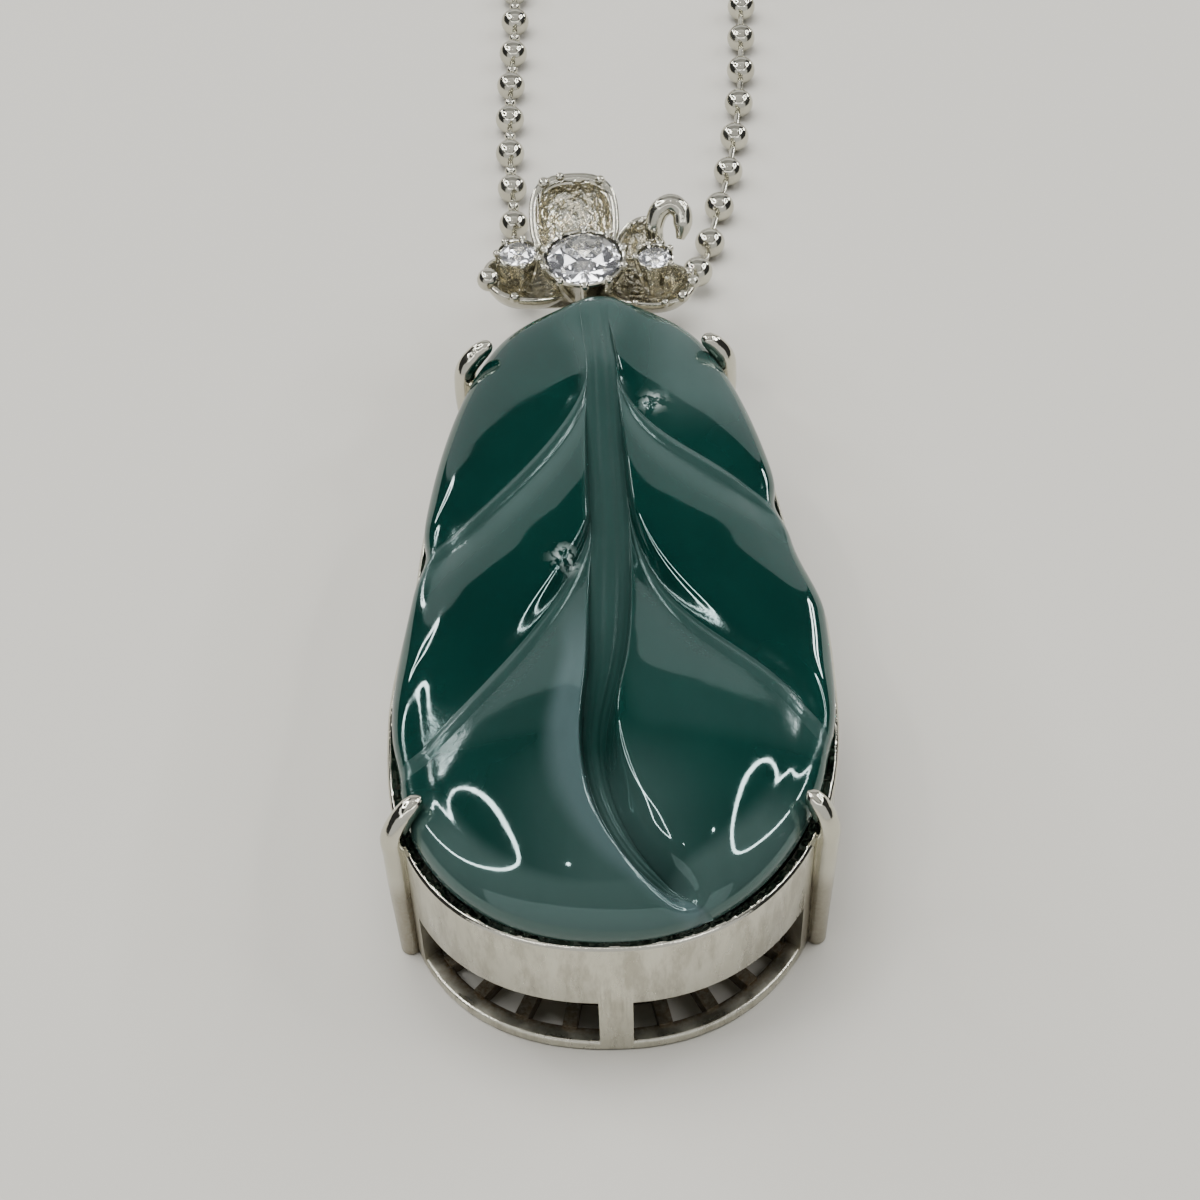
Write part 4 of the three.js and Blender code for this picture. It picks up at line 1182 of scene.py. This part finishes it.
def tube(line, radii, sides):
    """A closed tube round a line, with a radius for each of its points."""
    line = np.asarray(line, float)
    ahead = np.gradient(line, axis=0)
    ahead /= np.linalg.norm(ahead, axis=1)[:, None]
    spoke = np.cross(ahead[0], [0.3, 1, 0.2])
    rings = []
    turns = np.linspace(0, 2 * math.pi, sides, endpoint=False)
    for point, direction, radius in zip(line, ahead, radii):
        spoke = spoke - direction * (spoke @ direction)
        spoke /= np.linalg.norm(spoke)
        side = np.cross(direction, spoke)
        rings.append([point + radius * (math.cos(t) * spoke + math.sin(t) * side) for t in turns])
    points = np.vstack(rings)
    last = (len(line) - 1) * sides
    caps = [tuple(range(sides))[::-1], tuple(range(last, last + sides))]
    return points, ring_faces(len(line), sides) + caps


def claw(angle, tip_angle, stand, reach, tip_z):
    stations = [
        (-0.16, 0.05, 0), (-0.2, 3.4, 0), (-stand, 6.3, 0), (-stand, 7.2, 0.15),
        (lerp(-stand, reach, 0.4), tip_z - 0.5, 0.55), (reach, tip_z, 1),
    ]
    route = [band_line([lerp(angle, tip_angle, lean)], inset, z)[0] for inset, z, lean in stations]
    line = spline(route, TUBE_STEP)
    radii = CLAW_RADIUS * np.interp(np.linspace(0, 1, len(line)), CLAW_SHARES, CLAW_SCALES)
    return tube(line, radii, 20)


swept += [claw(*numbers) for numbers in CLAWS]
print(len(CLAWS), "claws")

# %% [markdown]
# ## One casting
#
# All these forms overlap where they meet. A Boolean union melts them into one clean shell, as the
# real setting is one casting. Two masks are then stored with its points: brown tarnish where the
# claws meet the back plate, painted shade in the gallery and under the stone's edge, and a polish
# on the claws and the rim, which every hand and cloth rubs.

# %% Joining shells
def joined_piece(name, parts, sharp_angle):
    """The union of closed shells, each given as its points and faces."""
    shells = [
        piece_of(f"{name}_{k}", mesh_of(f"{name}_{k}", *part)) for k, part in enumerate(parts)
    ]
    for shell in shells[1:]:
        union = shells[0].modifiers.new("union", "BOOLEAN")
        union.operation = "UNION"
        union.solver = "MANIFOLD"
        union.object = shell
    mesh = evaluated_mesh(name, shells[0])
    for shell in shells:
        bpy.data.objects.remove(shell)
    mesh.shade_smooth()
    mesh.set_sharp_from_angle(angle=math.radians(sharp_angle))
    return piece_of(name, mesh)


setting = joined_piece("cast_setting", swept, 40)
print(len(swept), "shells are joined to one of", len(setting.data.vertices), "points")

# %% Tarnish, painted shade and polish of the setting
def from_foot(points, angle, inset, z):
    """How far points are from a claw at the height z, seen from above."""
    foot = band_line([angle], inset, z)[0]
    return np.hypot(points[:, 0] - foot[0], points[:, 1] - foot[1])


def from_middle(points):
    """Distance and angle of points, seen from above the middle of the setting."""
    x, y = points[:, 0], points[:, 1] - SHOULDER_Y
    return np.hypot(x, y), np.degrees(np.arctan2(y, x))


def setting_tarnish_and_shade(points):
    """Brown tarnish round the claws' feet, and painted shade everywhere inside the wall below the stone's
    edge.
    """
    z = points[:, 2]
    wall_away, wall_turn = from_middle(band_line(np.arange(360), 0.25, 3.0))
    away, turn = from_middle(points)
    inside = smooth(np.interp(turn, wall_turn, wall_away, period=360) - away, 0.0, 0.35)
    feet = np.array([bell(from_foot(points, angle, 0.1, 3.0), 0, 1.0) for angle, *_ in CLAWS])
    return np.maximum.reduce([0.95 * inside * smooth(z, 6.64, 6.5), *(0.8 * feet * smooth(z, 5.2, 3.6))])


def setting_polish(points):
    """1 on the claws and on the rim, 0 on the satin faces."""
    rim = smooth(points[:, 2], RIM_Z - 0.16, RIM_Z - 0.1)
    away = [from_foot(points, angle, -stand, 5.0) for angle, _, stand, *_ in CLAWS]
    return np.maximum.reduce([rim, *smooth(np.array(away), 0.62, 0.46)])


store_amount(setting, "tarnish_and_shade", setting_tarnish_and_shade)
store_amount(setting, "polish", setting_polish)
hand_over(setting, cast_silver, "silver", "setting")

# %% [markdown]
# ## The pierced back plate
#
# Between the two rails of the back plate stand short bars, and the gaps between them are the
# windows that let light in from behind. Each could be a shell of the casting, but the bars repeat
# along a line, so Geometry Nodes set them: the line is a ring half way between the rails, and a
# bar is placed and turned at every share of its length. They stay a mesh of their own, whose
# ends lie inside the rails.

# %% Bars of the back plate
BAR_COUNT = 44
BAR_SIZE = (1.4, 0.75, PLATE_THICKNESS)


def bar_tree():
    tree, add, given = begin_tree("back plate bars", {
        "Ring": "Geometry", "Bars": "Int", "Bar Size": "Vector", "Finish": "Material",
    })
    spots = add("GeometryNodeCurveToPoints", {"mode": "COUNT"}, {
        "Curve": given["Ring"], "Count": given["Bars"],
    }).outputs
    bar = add("GeometryNodeMeshCube", None, {"Size": given["Bar Size"]}).outputs[0]
    placed = add("GeometryNodeInstanceOnPoints", None, {
        "Points": spots["Points"], "Instance": bar, "Rotation": spots["Rotation"],
    })
    end_tree(add, placed.outputs[0], given["Finish"])
    return tree


half_way = sum(RAIL_INSETS[:2]) / 2
middle_ring = band_line(np.linspace(-90, 270, 361)[:-1], half_way, PLATE_THICKNESS / 2)
lattice = baked_nodes("back_bars", curve_of("middle_ring", in_frame(middle_ring), True), bar_tree(), {
    "Bars": BAR_COUNT, "Bar Size": tuple(size * MM for size in BAR_SIZE),
    "Finish": cast_silver.material,
})
# The bars lie under the stone, in its shadow: their dark colour is painted shade, with some brown tarnish.
store_amount(lattice, "tarnish_and_shade", 0.9)
hand_over(lattice, cast_silver, "silver", "setting")

# %% [markdown]
# ## The flower
#
# The flower is cast too: hollow cup petals round a stone in a collar, two small stones beside it,
# and grains of metal pushed over their edges. A cup petal could be pulled from a flat sheet, but a
# turned bowl with a thick rounded rim is closed from the start. Its circles are squared off a
# little, and then it is stretched, tilted and turned outwards. One petal is a curled wire.

# %% Forms of the flower
CUP_SHARES = [0, 0.2, 0.4, 0.55, 0.7, 0.81]
CUP_DEPTHS = [1, 0.94, 0.8, 0.64, 0.42, 0.1]
CUP_EDGE, CUP_WALL = 0.83, 0.32


def turn_about(axis, degrees):
    return np.array(Matrix.Rotation(math.radians(degrees), 3, axis))


def petal_turn(petal):
    return turn_about("Z", petal["heading"]) @ turn_about("Y", -petal["rise"])


def petal_scale(petal):
    return np.array([petal["length"] / 2, petal["width"] / 2, 1])


def superradius(points, corners):
    """How far a circle's points must be divided to lie on a rounded square instead."""
    x, y = np.abs(points[:, 0]) + 1e-6, np.abs(points[:, 1])
    away = np.hypot(x, y)
    return ((x / away) ** corners + (y / away) ** corners) ** (1 / corners)


def ball(middle, radius, rings=10, segments=16):
    turn = np.linspace(0, math.pi, rings)
    points, faces = turned(np.column_stack([radius * np.sin(turn), -radius * np.cos(turn)]), segments)
    return points + middle, faces


def cup_petal(petal):
    """A shallow cup with a thick rounded rim, and the grains that sit on the rim."""
    depth = petal["depth"]
    outside = [
        (0, 1, 1), (0.25, 0.95, 1), (0.45, 0.86, 1), (0.65, 0.7, 1), (0.8, 0.5, 0.9), (0.93, 0.28, 0.5),
    ]
    profile = [
        *((share, -deep * depth - walls * CUP_WALL) for share, deep, walls in outside),
        (1.0, -0.14), (1.03, 0.0), (1.02, 0.1), (0.98, 0.16), (0.93, 0.17), (0.88, 0.13),
        (CUP_EDGE, 0.03),
        *((share, -deep * depth) for share, deep in zip(CUP_SHARES[::-1], CUP_DEPTHS[::-1])),
    ]

    def placed(points):
        return points * petal_scale(petal) @ petal_turn(petal).T + petal["at"] + FLOWER

    points, faces = turned(profile, 56)
    points[:, :2] /= superradius(points, petal["corners"])[:, None]
    shells = [(placed(points), faces)]
    for angle, radius in petal["grains"]:
        a = math.radians(angle)
        on_rim = np.array([[math.cos(a), math.sin(a), 0.12]])
        on_rim[:, :2] *= 0.95 / superradius(on_rim, petal["corners"])[:, None]
        shells.append(ball(placed(on_rim)[0], radius))
    return shells


print("a cup's floor falls in", len(CUP_SHARES), "steps")

# %% Petals
PETALS = [
    dict(at=(-0.4, 2.75, 0.85), length=4.1, width=3.8, depth=1.0, heading=92, rise=27, corners=2.8,
         grains=((38, 0.26), (16, 0.2), (-38, 0.22))),
    dict(at=(-2.45, -0.5, 0.4), length=3.7, width=3.0, depth=0.7, heading=195, rise=14, corners=2.3,
         grains=((4, 0.5), (60, 0.24))),
    dict(at=(2.75, -0.75, 0.15), length=3.9, width=2.8, depth=0.65, heading=-14, rise=6, corners=2.2,
         grains=((8, 0.32), (-32, 0.28), (35, 0.22), (-60, 0.18), (-100, 0.16), (-150, 0.22))),
    dict(at=(2.35, 1.15, 0.7), length=2.6, width=2.0, depth=0.6, heading=60, rise=28, corners=2.0,
         grains=((-75, 0.24),)),
]
CURL = [
    (2.3, 19.6, 6.3), (2.42, 19.95, 6.9), (2.42, 20.16, 7.6), (2.68, 20.45, 8.2),
    (3.15, 20.55, 8.42), (3.56, 20.32, 8.2), (3.62, 19.9, 7.75), (3.5, 19.55, 7.3),
]
CURL_RADIUS = 0.44


def inside_cups(points):
    """1 on the raw inner faces of the cups, 0 elsewhere."""
    inner = np.zeros(len(points))
    for petal in PETALS:
        local = (points - FLOWER - petal["at"]) @ petal_turn(petal) / petal_scale(petal)
        away = np.hypot(local[:, 0], local[:, 1]) * superradius(local, petal["corners"])
        floor = -petal["depth"] * np.interp(away, CUP_SHARES, CUP_DEPTHS)
        inner = np.maximum(inner, (away < CUP_EDGE) * (local[:, 2] > floor - 0.1) * (local[:, 2] < 0.15))
    return inner


petals = [shell for petal in PETALS for shell in cup_petal(petal)]
curl_line = spline(CURL, TUBE_STEP)
curl_shares = np.interp(np.linspace(0, 1, len(curl_line)), [0, 0.5, 0.85, 1], [0.8, 1, 0.95, 0.4])
petals.append(tube(curl_line, CURL_RADIUS * curl_shares, 16))
print(len(petals), "petals, grains and one curled petal")

# %% [markdown]
# ## Seats and prongs
#
# A round stone sits in a turned collar. Prongs rise along the collar, and their balled ends lean
# over the stone's edge.

# %% Seats
SEATS = {
    "center": dict(at=(FLOWER[0], FLOWER[1], 7.2), radius=1.6, stem=1.9, grains=10),
    "left": dict(at=(FLOWER[0] - 2.8, FLOWER[1] + 0.3, 7.3), radius=0.78, stem=2.0, grains=7),
    "right": dict(at=(FLOWER[0] + 3.0, FLOWER[1] - 0.15, 7.3), radius=0.7, stem=2.0, grains=5),
}


def seat(at, radius, stem, grains):
    r = radius
    profile = [
        (0, -stem), (r * 0.45, -stem), (r * 0.6, -r * 0.9), (r * 1.08, -0.05), (r * 1.13, 0.04),
        (r * 1.12, 0.13), (r * 1.07, 0.16), (r + 0.05, 0.12), (r + 0.05, -0.06), (r * 0.3, -r * 0.75),
        (0, -r * 0.75),
    ]
    points, faces = turned(profile, 40)
    shells = [(points + at, faces)]
    bead = 0.13 + r * 0.05
    for k in range(grains):
        angle = 2 * math.pi * (k + 0.5) / grains
        out = np.array([math.cos(angle), math.sin(angle), 0])
        foot, knee, head = (
            np.array(at) + away * out + [0, 0, height]
            for away, height in ((r * 0.62, -stem * 0.8), (r * 1.05, -0.35), (r * 1.08 + 0.06, 0.1))
        )
        line = spline([foot, knee, head], 0.15)
        shells.append(tube(line, np.full(len(line), bead * 0.75), 8))
        shells.append(ball(head, bead))
    return shells


seats = [shell for numbers in SEATS.values() for shell in seat(**numbers)]
print(len(seats), "collars and prongs")

# %% [markdown]
# ## Bail, stems and the joined flower
#
# Under the flower a sleeve carries the chain. Three rounded bars join it, the petals and the
# setting. They could be round wires, but a bar with a section of its own can be flat where the
# flower leaves no room.

# %% Bail and stems
UNDER_FLOWER = FLOWER[2] - 0.95
BORE_RADIUS, BAIL_RADIUS = 0.95, 1.5


def bar_between(start, end, width, height):
    """A rounded bar from one point to another."""
    start, end = np.asarray(start, float), np.asarray(end, float)
    ahead = (end - start) / np.linalg.norm(end - start)
    across = np.cross(ahead, [0, 0, 1] if abs(ahead[2]) < 0.9 else [0, 1, 0])
    across /= np.linalg.norm(across)
    over = np.cross(across, ahead)
    section = rounded_box(-1, 1, -1, 1, 0.35)
    rings = [
        [middle + a * width / 2 * across + b * height / 2 * over for a, b in section]
        for middle in (start, end)
    ]
    size = len(section)
    caps = [tuple(range(size))[::-1], tuple(range(size, 2 * size))]
    return np.vstack(rings), ring_faces(2, size) + caps


bore = rounded_box(BORE_RADIUS, BAIL_RADIUS, -BAIL_LENGTH / 2, BAIL_LENGTH / 2, 0.12)
sleeve_points, sleeve_faces = turned([*bore, bore[0]], 56, "x")
bail_x, bail_y, bail_z = BAIL
band_tip = (0, SHOULDER_Y + BAND["reach"][0] + 0.1, UNDER_FLOWER)
stems = [
    (sleeve_points + BAIL, sleeve_faces),
    bar_between(band_tip, (bail_x, bail_y, UNDER_FLOWER), 1.8, 1.0),
    bar_between((bail_x, bail_y, bail_z + 1.2), (bail_x, bail_y, FLOWER[2]), 1.4, 1.6),
    bar_between((-2.6, FLOWER[1], UNDER_FLOWER), (2.4, FLOWER[1], UNDER_FLOWER), 1.0, 0.9),
]
print("the bail and", len(stems) - 1, "bars")

# %% Flower piece
def flower_browner_low(points):
    """A little brown low in the flower."""
    return 0.25 * bell(points[:, 2], FLOWER[2] - 0.6, 0.8)


flower = joined_piece("cast_flower", stems + petals + seats, 42)
store_amount(flower, "tarnish_and_shade", flower_browner_low)
store_amount(flower, "raw", inside_cups)
hand_over(flower, polished_silver, "silver", "flower_bail")

# %% [markdown]
# ## Round brilliants
#
# A clear stone lives by its facets. The brilliant cut has an eight-sided table, a crown of star,
# kite and girdle facets, and a pavilion of long kites below. Its corners lie on a few circles, and
# the table's circle is turned by half a step. So the whole stone is the convex hull of the
# circles' points, and no facet has to be drawn.

# %% Brilliants
def brilliant(name, at, radius):
    rings = [
        (0.53, 0.40, 8, 0.5), (0.76, 0.25, 8, 0.0), (0.97, 0.06, 16, 0.0), (0.97, 0.0, 16, 0.0),
        (0.42, -0.37, 8, 0.0), (0.0, -0.62, 1, 0.0),
    ]
    gem = bmesh.new()
    for distance, height, count, offset in rings:
        for k in range(count):
            angle = 2 * math.pi * (k + offset) / count
            place = np.array(at) + [
                radius * distance * math.cos(angle), radius * distance * math.sin(angle), radius * height,
            ]
            gem.verts.new(in_frame(place))
    bmesh.ops.convex_hull(gem, input=gem.verts)
    bmesh.ops.dissolve_limit(gem, angle_limit=math.radians(1), verts=gem.verts, edges=gem.edges)
    mesh = bpy.data.meshes.new(name)
    gem.to_mesh(mesh)
    gem.free()
    return piece_of(name, mesh)


gems = [
    brilliant(f"{side}_brilliant", SEATS[side]["at"], SEATS[side]["radius"])
    for side in ("center", "left", "right")
]
for gem, node in zip(gems, ("center_stone", "left_stone", "right_stone")):
    hand_over(gem, crystal, "crystal", node)

# %% [markdown]
# ## Table and light
#
# The pendant lies on a plain pale table. What makes polished jade look like jade is what it
# mirrors: a pale wall behind it gives each lobe a soft upper half, and the dim room above the
# viewer leaves the lower half deep green; more of that pale reflection is painted into the jade's
# colour. Two ring lamps draw the white loops in the rounded ends, two smaller ones the streaks
# along the edges, and two tiny ones the white points. Painting these on the stone would be
# quicker, but they would not move with the viewer. Silver and clear stones have lamps of their
# own: long strips for the edges of the metal, and small squares that make the facets sparkle.
# Light linking keeps those lamps off the jade and the table, which has one for itself.

# %% Table
TABLE_SIZE = 2
table = Finish("table", Roughness=0.85, Base_Color=(0.51, 0.495, 0.45, 1))
bpy.ops.mesh.primitive_plane_add(size=TABLE_SIZE)
floor = bpy.context.object
floor.name = "table_top"
floor.data.materials.append(table.material)
print("the table is", TABLE_SIZE, "m wide")

# %% Lamps
RING_POINTS = 72
RING_DISTANCE = 0.45


def from_leaf(azimuth, elevation, distance):
    """A place seen from the leaf: azimuth 0 is away from the viewer and 90 is to the right."""
    a, e = math.radians(azimuth), math.radians(elevation)
    return Vector((math.sin(a) * math.cos(e), math.cos(a) * math.cos(e), math.sin(e))) * distance


def facing(place):
    return (-Vector(place)).to_track_quat("-Z", "Y").to_euler()


def soft_lamp(name, size, power, place, size_y=None, mirrored=True, shape="RECTANGLE"):
    data = bpy.data.lights.new(name, "AREA")
    data.shape = shape
    data.size = size
    data.size_y = size_y or size
    data.energy = power
    light = bpy.data.objects.new(name, data)
    light.location = place
    light.rotation_euler = facing(place)
    light.visible_glossy = mirrored
    bpy.context.scene.collection.objects.link(light)
    return light


def ring_lamp(name, place, size, width, strength, lean=0.0):
    """A flat glowing ring that faces the leaf: its two radii, its width and its turn in degrees."""
    glow = Finish(name, Base_Color=(0, 0, 0, 1), Emission_Color=(1, 1, 1, 1), Emission_Strength=strength)
    angles = np.linspace(0, 2 * math.pi, RING_POINTS, endpoint=False)
    circle = np.column_stack([np.cos(angles), np.sin(angles), 0 * angles])
    outer, inner = np.array([*size, 0]), np.array([*size, 0]) - width
    points = np.vstack([circle * inner, circle * outer]) @ turn_about("Z", lean).T
    mesh = bpy.data.meshes.new(name)
    mesh.from_pydata(points.tolist(), [], ring_faces(2, RING_POINTS))
    mesh.transform(facing(place).to_matrix().to_4x4())
    mesh.transform(Matrix.Translation(place))
    mesh.materials.append(glow.material)
    ring = piece_of(name, mesh)
    ring.visible_camera = False


print("the lamp behind the leaf stands", [round(v, 2) for v in from_leaf(0, 8, 0.6)])

# %% The room and what the jade mirrors
room = bpy.data.worlds.new("room")
room.use_nodes = True
sky = room.node_tree.nodes["Background"].inputs
sky["Color"].default_value = (0.55, 0.56, 0.57, 1)
sky["Strength"].default_value = 0.08
bpy.context.scene.world = room
wall_lamp = soft_lamp("pale_wall", 0.95, 1.0, from_leaf(0, 8, 0.6), 0.62, shape="ELLIPSE")
front_lamp = soft_lamp("pale_front", 1.6, 2.1, from_leaf(180, 22, 0.6), 0.55)
soft_lamp("soft_top", 0.6, 8.5, (-0.1, 0.05, 0.8), mirrored=False)
# Azimuth and elevation, the two radii in metres, the width, the strength and the turn.
RINGS = {
    "left_ring": (-74, 49, (0.18, 0.085), 0.014, 36, 43),
    "right_ring": (75, 44, (0.15, 0.075), 0.014, 36, -18),
    "left_edge": (-43, 19, (0.05, 0.024), 0.01, 28),
    "right_edge": (48, 12, (0.045, 0.022), 0.012, 36),
    "small_right": (81, 65, (0.006, 0.006), 0.0055, 60),
    "small_left": (-140, 79, (0.006, 0.006), 0.0055, 60),
}
for name, (azimuth, elevation, *ring) in RINGS.items():
    ring_lamp(name, from_leaf(azimuth, elevation, RING_DISTANCE), *ring)
print(len(RINGS), "ring lamps")

# %% Lamps of their own for silver, clear stones and table
SPARKLES = [(15, 78), (-70, 55), (80, 60), (180, 70), (-150, 40)]
STRIP_AZIMUTHS = [180, -115, 115]
silver = [chain, coupling, setting, lattice, flower]
linked = [
    (front_lamp, [leaf, *silver, *gems]),
    (wall_lamp, [leaf, *silver, *gems]),
    (soft_lamp("table_light", 0.6, 1.9, (0.0, 0.22, 0.8), mirrored=False), [floor]),
    (soft_lamp("silver_card", 0.8, 1.3, (0.0, -0.12, 0.7)), [*silver, *gems]),
    (soft_lamp("silver_back", 0.8, 0.8, from_leaf(0, 52, 0.7)), silver),
]
for k, place in enumerate(SPARKLES):
    linked.append((soft_lamp(f"sparkle_{k}", 0.13, 1.2, from_leaf(*place, 0.5)), gems))
for k, azimuth in enumerate(STRIP_AZIMUTHS):
    linked.append((soft_lamp(f"edge_strip_{k}", 0.8, 0.3, from_leaf(azimuth, 42, 0.6), 0.03), silver))
for light, pieces in linked:
    lit = bpy.data.collections.new(f"lit by {light.name}")
    for piece in pieces:
        lit.objects.link(piece)
    light.light_linking.receiver_collection = lit
